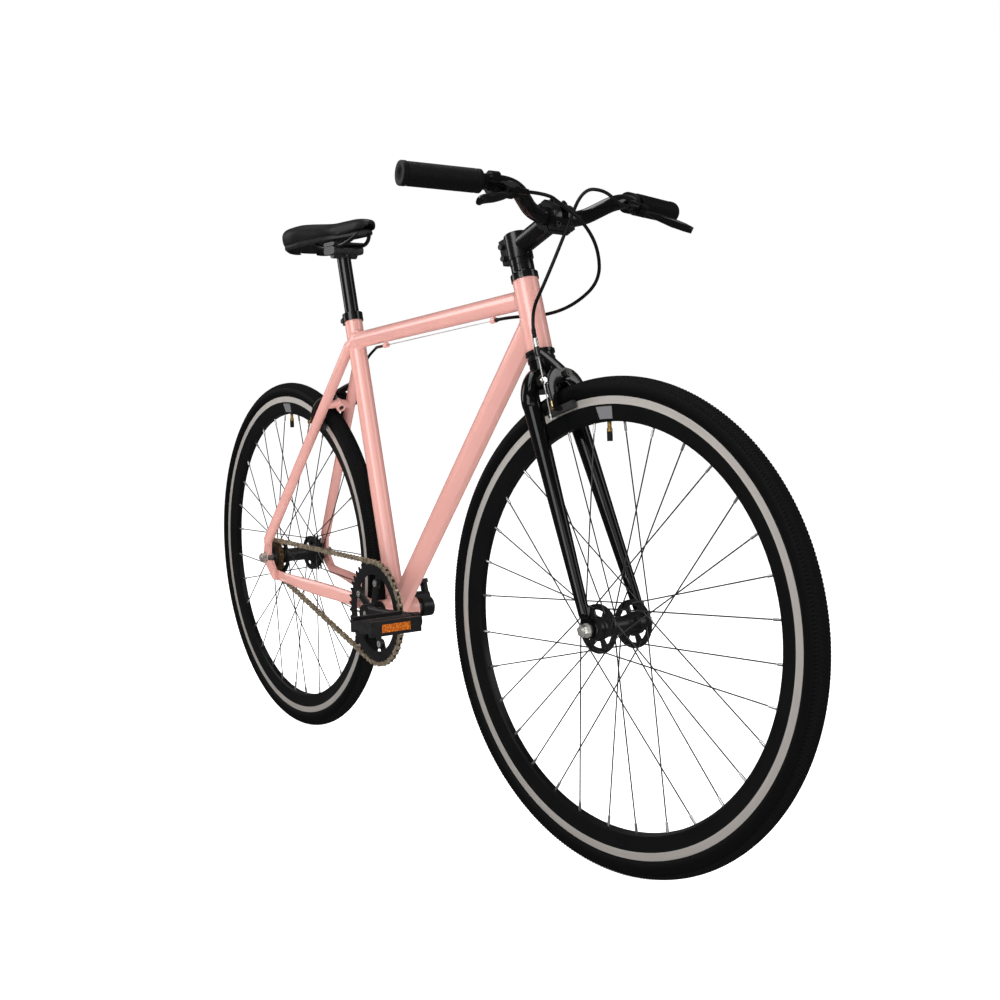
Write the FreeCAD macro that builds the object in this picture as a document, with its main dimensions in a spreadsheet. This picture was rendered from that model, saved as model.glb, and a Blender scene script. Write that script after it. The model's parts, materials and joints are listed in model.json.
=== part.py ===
import FreeCAD, Part
import math
import os
import re
import Sketcher
from FreeCAD import Placement, Rotation, Vector

# Bicycle with one speed, in millimetres: X forward, Y to the rider's left, Z up,
# origin on the ground halfway between the wheel axles.

doc = FreeCAD.newDocument("fixed_gear_bike")
sheet = doc.addObject("Spreadsheet::Sheet", "sizes")
nodes = []
size_names = []


def size(alias, value, note):
    """Write one driving size into the sheet."""
    size_names.append(alias)
    row = str(len(size_names))
    sheet.set("A" + row, note)
    sheet.set("B" + row, str(value))
    sheet.setAlias("B" + row, alias)


# Layout
size("wheelbase", 986, "between the wheel axles")
size("head_angle", 72.5, "head tube from the ground, degrees")
size("fork_rake", 38, "front axle ahead of the steering axis")
size("steer_turn", 6.42, "handlebar turned left in the built pose, degrees")
size("seat_angle", 75.5, "seat tube from the ground, degrees")
size("bracket_drop", 58.5, "bottom bracket below the axles")
size("crank_turn", 5, "right crank above level, degrees")
size("running_clearance", 0.05, "radial clearance of turning fits")
size("sliding_clearance", 0.1, "radial clearance of sliding and fixed fits")
size("side_clearance", 0.4, "clearance between faces that turn past each other")

# Wheels
size("tyre_outer_radius", 342.5, "wheel radius over the tyre")
size("tyre_section_radius", 16, "radius of the tyre section")
size("tyre_wall", 2.8, "thickness of the tyre")
size("bead_width", 3.2, "width of a tyre bead")
size("bead_clearance", 0.2, "tyre bead to rim wall")
size("rim_outer_radius", 316.5, "radius of the rim edge")
size("rim_width", 23, "rim over its brake tracks")
size("rim_wall", 1.6, "wall of the rim")
size("rim_track_height", 12, "height of a brake track")
size("rim_bed_depth", 10.5, "tyre bed below the rim edge")
size("rim_depth", 35.5, "rim edge to its inner nose")
size("rim_nose_width", 10, "width of the inner nose")
size("tube_wall", 0.9, "wall of the inner tube")
size("tube_clearance", 0.3, "inner tube to tyre")
size("valve_radius", 3, "valve stem")
size("valve_cap_radius", 4, "valve cap")
size("valve_reach", 27, "valve cap end inside the rim nose")
size("front_valve_angle", 76.2, "front valve from straight ahead, degrees")
size("rear_valve_angle", 90, "rear valve from straight ahead, degrees")
size("spoke_pairs", 8, "spokes of each kind in a wheel, four kinds")
size("spoke_radius", 1, "spoke")
size("spoke_sweep", 67.5, "rim end of a spoke from its hub end, degrees")
size("spoke_circle", 29, "radius of the spoke holes in a flange")
size("spoke_stand_in", 1.15, "inner spokes off the flange face")
size("spoke_stand_out", 3.4, "outer spokes off the flange face")
size("spoke_stagger", 1.2, "spoke holes off the middle of the rim")
size("nipple_radius", 1.9, "spoke nipple")
size("nipple_length", 13, "spoke nipple inside the rim nose")
size("flange_radius", 34, "hub flange")
size("flange_thickness", 3.4, "hub flange")
size("hub_shell_radius", 13, "middle of a hub")
size("hub_neck_radius", 16, "hub beside a flange")
size("hub_end_radius", 15, "ends of a hub")
size("hub_bore_radius", 9, "hollow middle of a hub")
size("bearing_length", 9, "bearing at each hub end")
size("front_flange_offset", 34, "front flange from the middle")
size("rear_flange_offset", 33, "rear flange from the middle")
size("front_hub_half", 44, "half length of the front hub")
size("rear_hub_half", 53, "half length of the rear hub")
size("front_axle_radius", 4.5, "front axle")
size("rear_axle_radius", 5, "rear axle")
size("front_dropout_gap", 100, "between the fork ends")
size("rear_dropout_gap", 120, "between the rear dropouts")
size("dropout_thickness", 6, "fork end and rear dropout plates")
size("cone_radius", 8.5, "axle cone and locknut")
size("washer_radius", 10, "axle washer")
size("washer_thickness", 1.8, "axle washer")
size("axle_nut_radius", 8.7, "axle nut over its corners")
size("axle_nut_length", 9, "axle nut")
size("axle_end", 2.5, "axle past its nut")

# Drive
size("chain_pitch", 12.7, "between chain rollers")
size("chain_links", 94, "links in the chain")
size("roller_radius", 3.88, "chain roller")
size("roller_width", 3.3, "chain roller")
size("chain_plate", 1.1, "thickness of a chain plate")
size("chain_plate_height", 8.4, "height of a chain plate")
size("chain_pin_radius", 1.8, "chain pin")
size("ring_teeth", 44, "teeth of the chainring")
size("sprocket_teeth", 16, "teeth of both sprockets")
size("tooth_gap_radius", 4, "hollow between two teeth")
size("tooth_height", 3.3, "tooth tip above the chain line")
size("tooth_tip", 2.6, "width of a tooth tip")
size("tooth_thickness", 2.2, "sprocket and chainring at the teeth")
size("chain_line", 45, "chain from the middle of the bicycle")
size("ring_rim", 22, "width of the chainring rim below the teeth")
size("bolt_circle", 55, "radius of the chainring bolts")
size("ring_lobe_radius", 8.5, "chainring lobe at a bolt")
size("ring_bolt_radius", 4, "chainring bolt")
size("ring_bolt_head", 5.6, "chainring bolt head")
size("spider_arms", 5, "arms of the crank spider")
size("spider_thickness", 5, "crank spider")
size("crank_length", 170, "crank")
size("crank_hub_radius", 17, "crank at the spindle")
size("crank_thickness", 13, "crank arm")
size("crank_eye_radius", 13, "crank at the pedal")
size("crank_inner_face", 54, "crank arm from the middle of the bicycle")
size("crank_flare", 6, "crank end further out than its hub")
size("spindle_radius", 8.5, "crank spindle")
size("spindle_square", 12.6, "square ends of the spindle")
size("bracket_half", 34, "half length of the bottom bracket shell")
size("bracket_radius", 21, "bottom bracket shell")
size("bracket_bore", 17, "bore of the bottom bracket shell")
size("pedal_axle_radius", 5.5, "pedal axle")
size("pedal_length", 92, "pedal along its axle")
size("pedal_width", 66, "pedal across")
size("pedal_height", 24, "pedal")
size("pedal_barrel_radius", 11, "pedal round its axle")
size("pedal_bar", 8, "thickness of the pedal bars")
size("left_pedal_turn", 72, "left pedal hanging from level, degrees")
size("freewheel_radius", 27.3, "freewheel body")
size("freewheel_core_radius", 22.5, "freewheel inner part")

# Frame
size("head_bottom", 409.5, "lower end of the head tube along the steering axis")
size("head_length", 109, "head tube")
size("head_radius", 19, "head tube")
size("head_bore", 16.9, "bore of the head tube")
size("tube_thickness", 1.3, "wall of the frame tubes")
size("top_tube_radius", 14.3, "top tube")
size("top_tube_drop", 27.5, "top tube below the upper end of the head tube")
size("top_tube_seat", 489, "top tube on the seat tube from the bottom bracket")
size("down_tube_radius", 18.25, "down tube")
size("down_tube_drop", 63, "down tube below the upper end of the head tube")
size("down_tube_flat", 16.4, "flats of the down tube from its axis")
size("seat_tube_radius", 15.9, "seat tube")
size("seat_tube_length", 538, "seat tube from the bottom bracket")
size("stay_radius", 9.6, "seat stay")
size("stay_top", 481, "seat stays on the seat tube from the bottom bracket")
size("stay_top_side", 12, "upper end of a seat stay from the middle")
size("stay_top_back", 5.5, "upper end of a seat stay behind the seat tube axis")
size("stay_foot_forward", 7, "foot of a seat stay ahead of the axle")
size("stay_foot_up", 34.5, "foot of a seat stay above the axle")
size("chain_stay_foot_forward", 31, "foot of a chain stay ahead of the axle")
size("chain_stay_foot_down", 31, "foot of a chain stay below the axle")
size("chain_stay_height", 28, "chain stay")
size("chain_stay_width", 14, "chain stay")
size("chain_stay_waist", 28.5, "chain stay at the tyre from the middle")
size("dropout_eye", 14, "dropout round the axle")
size("bridge_radius", 7.5, "brake bridge")
size("bridge_forward", 8, "brake bridge ahead of the seat stays")
size("bridge_rise", 10, "middle of the bridge above its ends")
size("boss_radius", 9, "brake boss of the bridge")
size("stop_front", 93, "front cable stop behind the head tube along the top tube")
size("stop_rear", 106, "rear cable stop ahead of the seat tube along the top tube")
size("stop_below", 20, "cable below the top tube axis")
size("stop_length", 11, "cable stop")
size("stop_radius", 4.2, "cable stop")

# Fork and headset
size("steerer_radius", 14.3, "steerer")
size("steerer_wall", 2.2, "steerer")
size("crown_bottom", 350, "lower face of the fork crown along the steering axis")
size("crown_top", 388, "upper face of the fork crown along the steering axis")
size("crown_radius", 19.5, "fork crown")
size("crown_half_width", 26, "fork blades at the crown from the middle")
size("blade_shoulder_side", 40, "fork blade at its shoulder from the middle")
size("blade_shoulder_up", 322, "fork blade shoulder above the axle")
size("blade_top_radius", 13.6, "fork blade at its shoulder")
size("blade_foot_radius", 8, "fork blade at its foot")
size("blade_foot_up", 22, "foot of a fork blade above the axle")
size("blade_wall", 1.6, "wall of a fork blade")
size("brake_face", 22, "front brake face ahead of the steering axis")
size("cup_radius", 20.5, "headset cup")
size("cup_height", 15, "lower headset cup below the head tube")
size("cup_lip", 1.2, "lip of a headset cup past its side")
size("cup_lip_height", 4.5, "lip of a headset cup")
size("upper_cup_height", 6, "upper headset cup above the head tube")
size("cup_insert", 10, "headset cup inside the head tube")
size("cover_height", 6.5, "headset cover")
size("spacer_radius", 17.2, "headset spacers")
size("spacer_stack", 20, "headset spacers")
size("spacer_groove", 0.8, "groove between the spacers")

# Stem, handlebar, grips and levers
size("stem_height", 38, "stem at the steerer")
size("stem_clamp_radius", 19, "stem at the steerer")
size("stem_length", 86, "stem")
size("stem_rise", 6.5, "stem rise, degrees")
size("stem_neck_radius", 15.5, "stem between its clamps")
size("stem_split", 2, "slit of a clamp")
size("bar_clamp_radius", 19.5, "stem and faceplate round the bar")
size("bar_clamp_width", 44, "stem and faceplate along the bar")
size("stem_bolt_radius", 2.5, "stem bolt")
size("stem_bolt_head", 4.2, "stem bolt head")
size("stem_bolt_offset", 17.5, "faceplate bolts from the bar axis")
size("stem_bolt_spread", 12, "faceplate bolts from the middle")
size("bar_centre_radius", 12.7, "handlebar in the stem")
size("bar_radius", 11.1, "handlebar at the grips")
size("bar_wall", 2, "handlebar")
size("bar_flat_half", 44, "half width of the straight middle of the bar")
size("bar_knee_forward", 33.5, "upper bend ahead of the middle of the bar")
size("bar_knee_side", 100, "upper bend from the middle")
size("bar_knee_up", 22.4, "upper bend above the middle of the bar")
size("bar_end_back", 7.1, "end of the bar behind its middle")
size("bar_end_side", 258.7, "end of the bar from the middle")
size("bar_end_up", 38.8, "end of the bar above its middle")
size("grip_length", 112, "grip")
size("grip_radius", 15.6, "grip")
size("grip_ring", 17, "raised ring at each end of a grip")
size("grip_end", 4, "closed end of a grip")
size("lever_place", 19, "lever clamp inboard of the grip")
size("lever_clamp_radius", 15.5, "lever clamp")
size("lever_clamp_width", 13, "lever clamp")
size("lever_pivot_reach", 31, "lever pivot ahead of the bar")
size("lever_pivot_radius", 2.5, "lever pivot pin")
size("lever_pivot_inset", 12, "lever pivot inboard of its clamp")
size("lever_blade_height", 13, "face of the brake lever under the fingers")
size("lever_thickness", 6.4, "brake lever")
size("lever_length", 86, "brake lever from its pivot")
size("lever_spread", 38, "brake lever opened from the bar, degrees")
size("lever_drop", 45, "lever below level ahead of the bar, degrees")
size("barrel_radius", 4, "cable adjuster")
size("barrel_length", 16, "cable adjuster of a lever")

# Brakes and cables
size("brake_reach", 51, "brake pads below the brake bolt")
size("brake_bolt_radius", 3, "brake bolt")
size("brake_spacer", 8.6, "spacer behind the brake arms")
size("brake_spacer_radius", 8, "spacer behind the brake arms")
size("brake_arm_thickness", 6.5, "brake arm")
size("brake_arm_gap", 0.5, "between the brake arms")
size("brake_arm_width", 14, "brake arm")
size("brake_eye_radius", 9, "brake arm at its bolt")
size("brake_arm_side", 33, "lower end of a brake arm from the middle")
size("pad_gap", 2.2, "brake pad to rim")
size("pad_length", 52, "brake pad")
size("pad_height", 11, "brake pad")
size("pad_thickness", 8, "brake pad with its holder")
size("pad_forward", 16, "brake pad ahead of the mounting face")
size("anchor_side", 42, "brake cable from the middle of its caliper")
size("anchor_drop", 10, "cable anchor below the brake bolt")
size("adjuster_up", 33, "caliper adjuster above the brake bolt")
size("adjuster_top", 52, "top of the caliper adjuster above the brake bolt")
size("wire_radius", 0.8, "brake wire")
size("wire_tail", 58, "bare wire below its anchor")
size("housing_radius", 2.5, "cable housing")
size("housing_bore", 1.2, "bore of a cable housing")

# Seat
size("post_radius", 12.7, "seatpost")
size("post_bottom", 415, "lower end of the seatpost from the bottom bracket")
size("post_top", 641, "upper end of the seatpost from the bottom bracket")
size("post_wall", 2.4, "seatpost")
size("collar_radius", 18.3, "seat collar")
size("collar_height", 14.5, "seat collar")
size("clamp_radius", 14, "saddle clamp")
size("clamp_half", 30, "half width of the saddle clamp")
size("clamp_length", 40, "saddle clamp along the rails")
size("clamp_plate", 7, "upper plate of the saddle clamp")
size("clamp_up", 18, "saddle clamp above the end of the seatpost")
size("rail_radius", 3.5, "saddle rail")
size("rail_spread", 22, "saddle rails at the clamp from the middle")
size("rail_flat_back", 46, "level part of the rails behind the clamp")
size("rail_flat_ahead", 50, "level part of the rails ahead of the clamp")
size("rail_rear_back", 86, "rear ends of the rails behind the clamp")
size("rail_rear_side", 34, "rear ends of the rails from the middle")
size("rail_rear_rise", 31, "rear ends of the rails above their level part")
size("rail_nose_ahead", 86, "front ends of the rails ahead of the clamp")
size("rail_nose_side", 7, "front ends of the rails from the middle")
size("rail_nose_rise", 22, "front ends of the rails above their level part")
size("saddle_length", 256, "saddle")
size("saddle_width", 128, "saddle")
size("saddle_nose", 106, "saddle nose ahead of the clamp")
size("saddle_top", 51, "saddle top above the clamp")
size("saddle_skirt", 55, "height of the saddle sides")
size("saddle_padding", 12, "thickness of cover and padding")
size("saddle_base", 3.5, "thickness of the saddle base")
doc.recompute()


class Sizes:
    """Reads a size from the sheet by its name."""

    def __getattr__(self, alias):
        return float(sheet.get(alias))


dim = Sizes()
AHEAD = Vector(1, 0, 0)
LEFT = Vector(0, 1, 0)
UP = Vector(0, 0, 1)
LEFT_SIDE = 1
RIGHT_SIDE = -1


# Drawing helpers
def bound(formula):
    """Point every size named in a formula at the sheet."""
    return re.sub(r"[a-z_]+", lambda word: "sizes." + word.group(0), formula)


def value_of(formula):
    """The present value of a formula of sizes."""
    return float(sheet.evalExpression(formula))


def draw_loop(sketch, corners):
    """Draw a closed loop whose corners are tied to formulas of sizes."""
    first = sketch.GeometryCount
    count = len(corners)
    places = [Vector(value_of(across), value_of(along), 0) for across, along in corners]
    for index in range(count):
        edge = Part.LineSegment(places[index], places[(index + 1) % count])
        sketch.addGeometry(edge, False)
    for index in range(count):
        after = first + (index + 1) % count
        sketch.addConstraint(Sketcher.Constraint("Coincident", first + index, 2, after, 1))
    for index, (across, along) in enumerate(corners):
        edge = first + index
        for kind, formula in (("DistanceX", across), ("DistanceY", along)):
            rule = Sketcher.Constraint(kind, -1, 1, edge, 1, value_of(formula))
            number = sketch.addConstraint(rule)
            sketch.setExpression("Constraints[%d]" % number, bound(formula))


def body_sketch(name, plane, loops):
    """A body with one sketch of closed loops on one of its origin planes."""
    body = doc.addObject("PartDesign::Body", name)
    sketch = body.newObject("Sketcher::SketchObject", name + "_profile")
    support = [face for face in body.Origin.OriginFeatures if face.Role == plane][0]
    sketch.AttachmentSupport = [(support, "")]
    sketch.MapMode = "FlatFace"
    for loop in loops:
        draw_loop(sketch, loop)
    return body, sketch


def turned_body(name, plane, loops):
    """A body turned about the upright axis of its sketch; corners are (radius, place along)."""
    body, sketch = body_sketch(name, plane, loops)
    turn = body.newObject("PartDesign::Revolution", name + "_turn")
    turn.Profile = sketch
    turn.ReferenceAxis = (sketch, ["V_Axis"])
    turn.Angle = 360
    sketch.Visibility = False
    return body


def mirrored(corners):
    """Corners of one half of a profile followed by those of the other half."""
    return corners + [(across, "-(" + along + ")") for across, along in reversed(corners)]


def keep(item, place):
    """Put a finished document object in its place and list it for export."""
    item.Placement = place
    nodes.append(item)
    return item


def node(name, shape, place=Placement()):
    """A finished piece with a computed shape."""
    item = doc.addObject("Part::Feature", name)
    item.Shape = Part.Compound(shape.Solids)
    return keep(item, place)


def drilled(name, base, holes, place):
    """A finished piece: a body less a set of separate holes."""
    tool = doc.addObject("Part::Feature", name + "_holes")
    tool.Shape = Part.Compound(holes)
    item = doc.addObject("Part::Cut", name)
    item.Base = base
    item.Tool = tool
    return keep(item, place)


def joined(shapes):
    """One solid out of several, joined one after another."""
    whole = shapes[0]
    for shape in shapes[1:]:
        whole = whole.fuse(shape)
    return whole


def carved(whole, hollows):
    """A solid less several others, cut one after another."""
    for hollow in hollows:
        whole = whole.cut(hollow)
    return whole


def rod(start, end, radius):
    """A round bar between two points."""
    return Part.makeCylinder(radius, (end - start).Length, start, end - start)


def tube(start, end, radius, bore):
    """A round tube between two points."""
    return rod(start, end, radius).cut(rod(start, end, bore))


def taper(start, end, start_radius, end_radius):
    """A tapered round bar between two points."""
    return Part.makeCone(start_radius, end_radius, (end - start).Length, start, end - start)


def hexagon(start, end, radius):
    """A six-sided bar between two points."""
    along = (end - start).normalize()
    side = along.cross(AHEAD if abs(along.x) < 0.9 else LEFT).normalize()
    other = along.cross(side)
    corners = []
    for index in range(7):
        angle = index * math.pi / 3
        corners.append(start + side * (radius * math.cos(angle)) + other * (radius * math.sin(angle)))
    return Part.Face(Part.makePolygon(corners)).extrude(end - start)


def block(low, high):
    """A box between two corners."""
    corner = Vector(min(low.x, high.x), min(low.y, high.y), min(low.z, high.z))
    return Part.makeBox(abs(high.x - low.x), abs(high.y - low.y), abs(high.z - low.z), corner)


def route(points, share=0.49):
    """A wire through the points: straight runs joined by tangent arcs that take a share of each run."""
    edges = []
    last = points[0]
    for before, corner, after in zip(points, points[1:], points[2:]):
        reach = share * min((before - corner).Length, (after - corner).Length)
        back = (before - corner).normalize()
        on = (after - corner).normalize()
        half = back.getAngle(on) / 2
        bend = reach * math.tan(half)
        first = corner + back * reach
        second = corner + on * reach
        crest = corner + (back + on).normalize() * (bend / math.sin(half) - bend)
        edges.append(Part.LineSegment(last, first).toShape())
        edges.append(Part.Arc(first, crest, second).toShape())
        last = second
    edges.append(Part.LineSegment(last, points[-1]).toShape())
    return Part.Wire(edges)


def swept(wire, radius):
    """A round bar along a wire; its volume must match section times length."""
    start = wire.Edges[0].valueAt(wire.Edges[0].FirstParameter)
    along = wire.Edges[0].tangentAt(wire.Edges[0].FirstParameter)
    section = Part.Wire(Part.makeCircle(radius, start, along))
    bar = wire.makePipeShell([section], True, False)
    expected = math.pi * radius ** 2 * wire.Length
    if abs(bar.Volume / expected - 1) > 0.01:
        raise ValueError("a swept bar does not match its length")
    return bar


def oval(centre, side, rise, half_side, half_rise, square):
    """A closed rounded outline; square 2 gives an ellipse, more gives fuller corners."""
    points = []
    count = 24
    for index in range(count):
        angle = 2 * math.pi * index / count
        across = math.copysign(abs(math.cos(angle)) ** (2 / square), math.cos(angle))
        along = math.copysign(abs(math.sin(angle)) ** (2 / square), math.sin(angle))
        points.append(centre + side * (half_side * across) + rise * (half_rise * along))
    curve = Part.BSplineCurve()
    curve.interpolate(points, PeriodicFlag=True)
    return Part.Wire(curve.toShape())


def lofted(sections):
    """A solid skinned over closed outlines, with its faces outward."""
    solid = Part.makeLoft(sections, True, False)
    if solid.Volume < 0:
        solid.reverse()
    return solid


def limb(points, halves, normal, square=2.6):
    """A rounded arm along a curve through the points; halves are its half width and half thickness at each."""
    curve = Part.BSplineCurve()
    curve.interpolate(points)
    marks = [curve.parameter(point) for point in points]
    steps = 4
    sections = []
    for index in range((len(points) - 1) * steps + 1):
        span = min(index // steps, len(points) - 2)
        share = index / steps - span
        mark = marks[span] + (marks[span + 1] - marks[span]) * share
        side = curve.tangent(mark)[0].cross(normal).normalize()
        wide = halves[span][0] + (halves[span + 1][0] - halves[span][0]) * share
        thick = halves[span][1] + (halves[span + 1][1] - halves[span][1]) * share
        sections.append(oval(curve.value(mark), side, normal, wide, thick, square))
    return lofted(sections)


def around(angle, radius, along):
    """A point of a wheel, angle in degrees from straight ahead towards up, along its axle to the left."""
    turn = math.radians(angle)
    return Vector(radius * math.cos(turn), along, radius * math.sin(turn))


def spun(shape, angle):
    """A copy turned about the axle, in degrees from straight ahead towards up."""
    copy = shape.copy()
    copy.rotate(Vector(), LEFT, -angle)
    return copy


def both_sides(shape):
    """A shape and its mirror image across the middle of the bicycle."""
    return [shape, shape.mirror(Vector(), LEFT)]


def toothed_disc(teeth, phase, low, high):
    """A disc with teeth for the chain between two places along the axle; phase is one hollow's angle."""
    step = 360 / teeth
    chain_radius = dim.chain_pitch * teeth / (2 * math.pi)
    tip_radius = chain_radius + dim.tooth_height
    tip_half = tip_radius * math.radians(step) / 2 - dim.tooth_tip / 2
    hollow = dim.tooth_gap_radius
    spread = math.radians(65)
    edges = []
    last = None
    first = None
    for index in range(int(teeth)):
        angle = math.radians(phase + index * step)
        out = Vector(math.cos(angle), 0, math.sin(angle))
        on = Vector(-math.sin(angle), 0, math.cos(angle))
        centre = out * chain_radius + LEFT * low
        tip_in = centre + out * dim.tooth_height - on * tip_half
        arc_in = centre - out * (hollow * math.cos(spread)) - on * (hollow * math.sin(spread))
        root = centre - out * hollow
        arc_out = centre - out * (hollow * math.cos(spread)) + on * (hollow * math.sin(spread))
        tip_out = centre + out * dim.tooth_height + on * tip_half
        if last is None:
            first = tip_in
        else:
            edges.append(Part.LineSegment(last, tip_in).toShape())
        edges.append(Part.LineSegment(tip_in, arc_in).toShape())
        edges.append(Part.Arc(arc_in, root, arc_out).toShape())
        edges.append(Part.LineSegment(arc_out, tip_out).toShape())
        last = tip_out
    edges.append(Part.LineSegment(last, first).toShape())
    return Part.Face(Part.Wire(edges)).extrude(LEFT * (high - low))


# Where things stand
wheel_centre_height = dim.tyre_outer_radius
front_axle_place = Vector(dim.wheelbase / 2, 0, wheel_centre_height)
rear_axle_place = Vector(-dim.wheelbase / 2, 0, wheel_centre_height)
steering_tilt = Rotation(LEFT, dim.head_angle - 90)
steering_foot = front_axle_place - steering_tilt.multVec(AHEAD * dim.fork_rake)
straight_steering = Placement(steering_foot, steering_tilt)
turned_steering = straight_steering.multiply(Placement(Vector(), Rotation(UP, dim.steer_turn)))
front_wheel_place = turned_steering.multiply(Placement(AHEAD * dim.fork_rake, Rotation()))
rear_wheel_place = Placement(rear_axle_place, Rotation())


def chain_centre_distance():
    """Distance between chainring and sprocket that takes up the whole chain."""
    ring = dim.chain_pitch * dim.ring_teeth / (2 * math.pi)
    sprocket = dim.chain_pitch * dim.sprocket_teeth / (2 * math.pi)
    chain = dim.chain_pitch * dim.chain_links
    distance = chain / 3
    for step in range(60):
        lean = math.asin((ring - sprocket) / distance)
        distance = (chain - math.pi * (ring + sprocket) - 2 * lean * (ring - sprocket)) / (2 * math.cos(lean))
    return distance


centre_distance = chain_centre_distance()
bracket_ahead = math.sqrt(centre_distance ** 2 - dim.bracket_drop ** 2)
bracket_place = rear_axle_place + AHEAD * bracket_ahead - UP * dim.bracket_drop
seat_lean = Rotation(LEFT, dim.seat_angle - 90)
seat_place = Placement(bracket_place, seat_lean)
crank_place = Placement(bracket_place, Rotation(LEFT, -dim.crank_turn))


def on_head(along):
    """A point of the steering axis."""
    return straight_steering.multVec(UP * along)


def on_seat_tube(along):
    """A point of the seat tube axis."""
    return seat_place.multVec(UP * along)


# Wheels
def make_valve(side, angle, place):
    """Valve stem and cap pointing from the inner tube to the hub."""
    nose = "(rim_outer_radius - rim_depth)"
    cap_low = nose + " - valve_reach"
    cap_high = nose + " - valve_reach / 3"
    tube_floor = "(tyre_outer_radius - 2 * tyre_section_radius + tyre_wall + tube_clearance)"
    corners = [("0", cap_low), ("valve_cap_radius", cap_low), ("valve_cap_radius", cap_high),
               ("valve_radius", cap_high), ("valve_radius", tube_floor), ("0", tube_floor)]
    body = turned_body(side + "_valve", "XZ_Plane", [corners])
    keep(body, place.multiply(Placement(Vector(), Rotation(LEFT, 90 - angle))))


def make_tyre(side, place):
    """Tyre with two beads, turned about the axle."""
    middle = dim.tyre_outer_radius - dim.tyre_section_radius
    outer = dim.tyre_section_radius
    inner = outer - dim.tyre_wall
    lip = dim.rim_outer_radius + dim.bead_clearance
    lip_half = math.sqrt(outer ** 2 - (middle - lip) ** 2)
    bead_outer = dim.rim_width / 2 - dim.rim_wall - dim.bead_clearance
    bead_inner = bead_outer - dim.bead_width
    bead_foot = dim.rim_outer_radius - dim.rim_bed_depth + dim.tyre_wall
    bead_top = middle - math.sqrt(inner ** 2 - bead_inner ** 2)
    tread = Part.Arc(Vector(lip, -lip_half, 0), Vector(middle + outer, 0, 0), Vector(lip, lip_half, 0))
    lining = Part.Arc(Vector(bead_top, bead_inner, 0), Vector(middle + inner, 0, 0),
                      Vector(bead_top, -bead_inner, 0))
    left_bead = Part.makePolygon([Vector(lip, lip_half, 0), Vector(lip, bead_outer, 0),
                                  Vector(bead_foot, bead_outer, 0), Vector(bead_foot, bead_inner, 0),
                                  Vector(bead_top, bead_inner, 0)])
    right_bead = Part.makePolygon([Vector(bead_top, -bead_inner, 0), Vector(bead_foot, -bead_inner, 0),
                                   Vector(bead_foot, -bead_outer, 0), Vector(lip, -bead_outer, 0),
                                   Vector(lip, -lip_half, 0)])
    edges = [tread.toShape()] + left_bead.Edges + [lining.toShape()] + right_bead.Edges
    section = Part.Face(Part.Wire(edges))
    node(side + "_tyre", section.revolve(Vector(), LEFT, 360), place)


def make_inner_tube(side, angle, place):
    """Hollow ring inside the tyre, open at the valve."""
    ring = "sizes.tyre_outer_radius - sizes.tyre_section_radius"
    outside = doc.addObject("Part::Torus", side + "_tube_outside")
    outside.setExpression("Radius1", ring)
    outside.setExpression("Radius2", "sizes.tyre_section_radius - sizes.tyre_wall - sizes.tube_clearance")
    inside = doc.addObject("Part::Torus", side + "_tube_inside")
    inside.setExpression("Radius1", ring)
    inside.setExpression("Radius2", "sizes.tyre_section_radius - sizes.tyre_wall - sizes.tube_clearance"
                         " - sizes.tube_wall")
    hollow = doc.addObject("Part::Cut", side + "_tube_hollow")
    hollow.Base = outside
    hollow.Tool = inside
    upright = Placement(Vector(), Rotation(AHEAD, 90))
    hollow.Placement = upright
    rim = dim.rim_outer_radius
    hole = rod(around(angle, rim - dim.rim_bed_depth, 0), around(angle, rim + dim.tyre_section_radius / 2, 0),
               dim.valve_radius / 2)
    drilled(side + "_inner_tube", hollow, [hole], place)


def spoke_ends(flange_offset, half, outside, leading):
    """Hub and rim ends of one spoke; half is the side of the wheel, leading its lean."""
    face = dim.flange_thickness / 2
    stand = face + dim.spoke_stand_out if outside else -face - dim.spoke_stand_in
    hub_end = around(0, dim.spoke_circle, half * (flange_offset + stand))
    rim_end = around(leading * dim.spoke_sweep, dim.rim_outer_radius - dim.rim_depth, half * dim.spoke_stagger)
    return hub_end, rim_end


def make_spoke(flange_offset, half, outside, leading):
    """One spoke with elbow, head and nipple."""
    hub_end, rim_end = spoke_ends(flange_offset, half, outside, leading)
    along = (rim_end - hub_end).normalize()
    face = dim.flange_thickness / 2
    head = -face - dim.spoke_radius if outside else face + dim.spoke_radius
    head_place = around(0, dim.spoke_circle, half * (flange_offset + head))
    outward = (head_place - hub_end).normalize()
    floor = dim.rim_wall * 3 + dim.side_clearance * 1.5
    pieces = [rod(hub_end, rim_end, dim.spoke_radius),
              Part.makeSphere(dim.spoke_radius, hub_end),
              rod(hub_end, head_place, dim.spoke_radius),
              rod(head_place - outward * (dim.spoke_radius - dim.bead_clearance), head_place,
                  dim.spoke_radius * 1.8),
              rod(rim_end - along * dim.nipple_length, rim_end + along * floor, dim.nipple_radius),
              rod(rim_end + along * floor, rim_end + along * (floor + dim.nipple_radius),
                  dim.nipple_radius * 1.35)]
    return joined(pieces)


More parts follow.
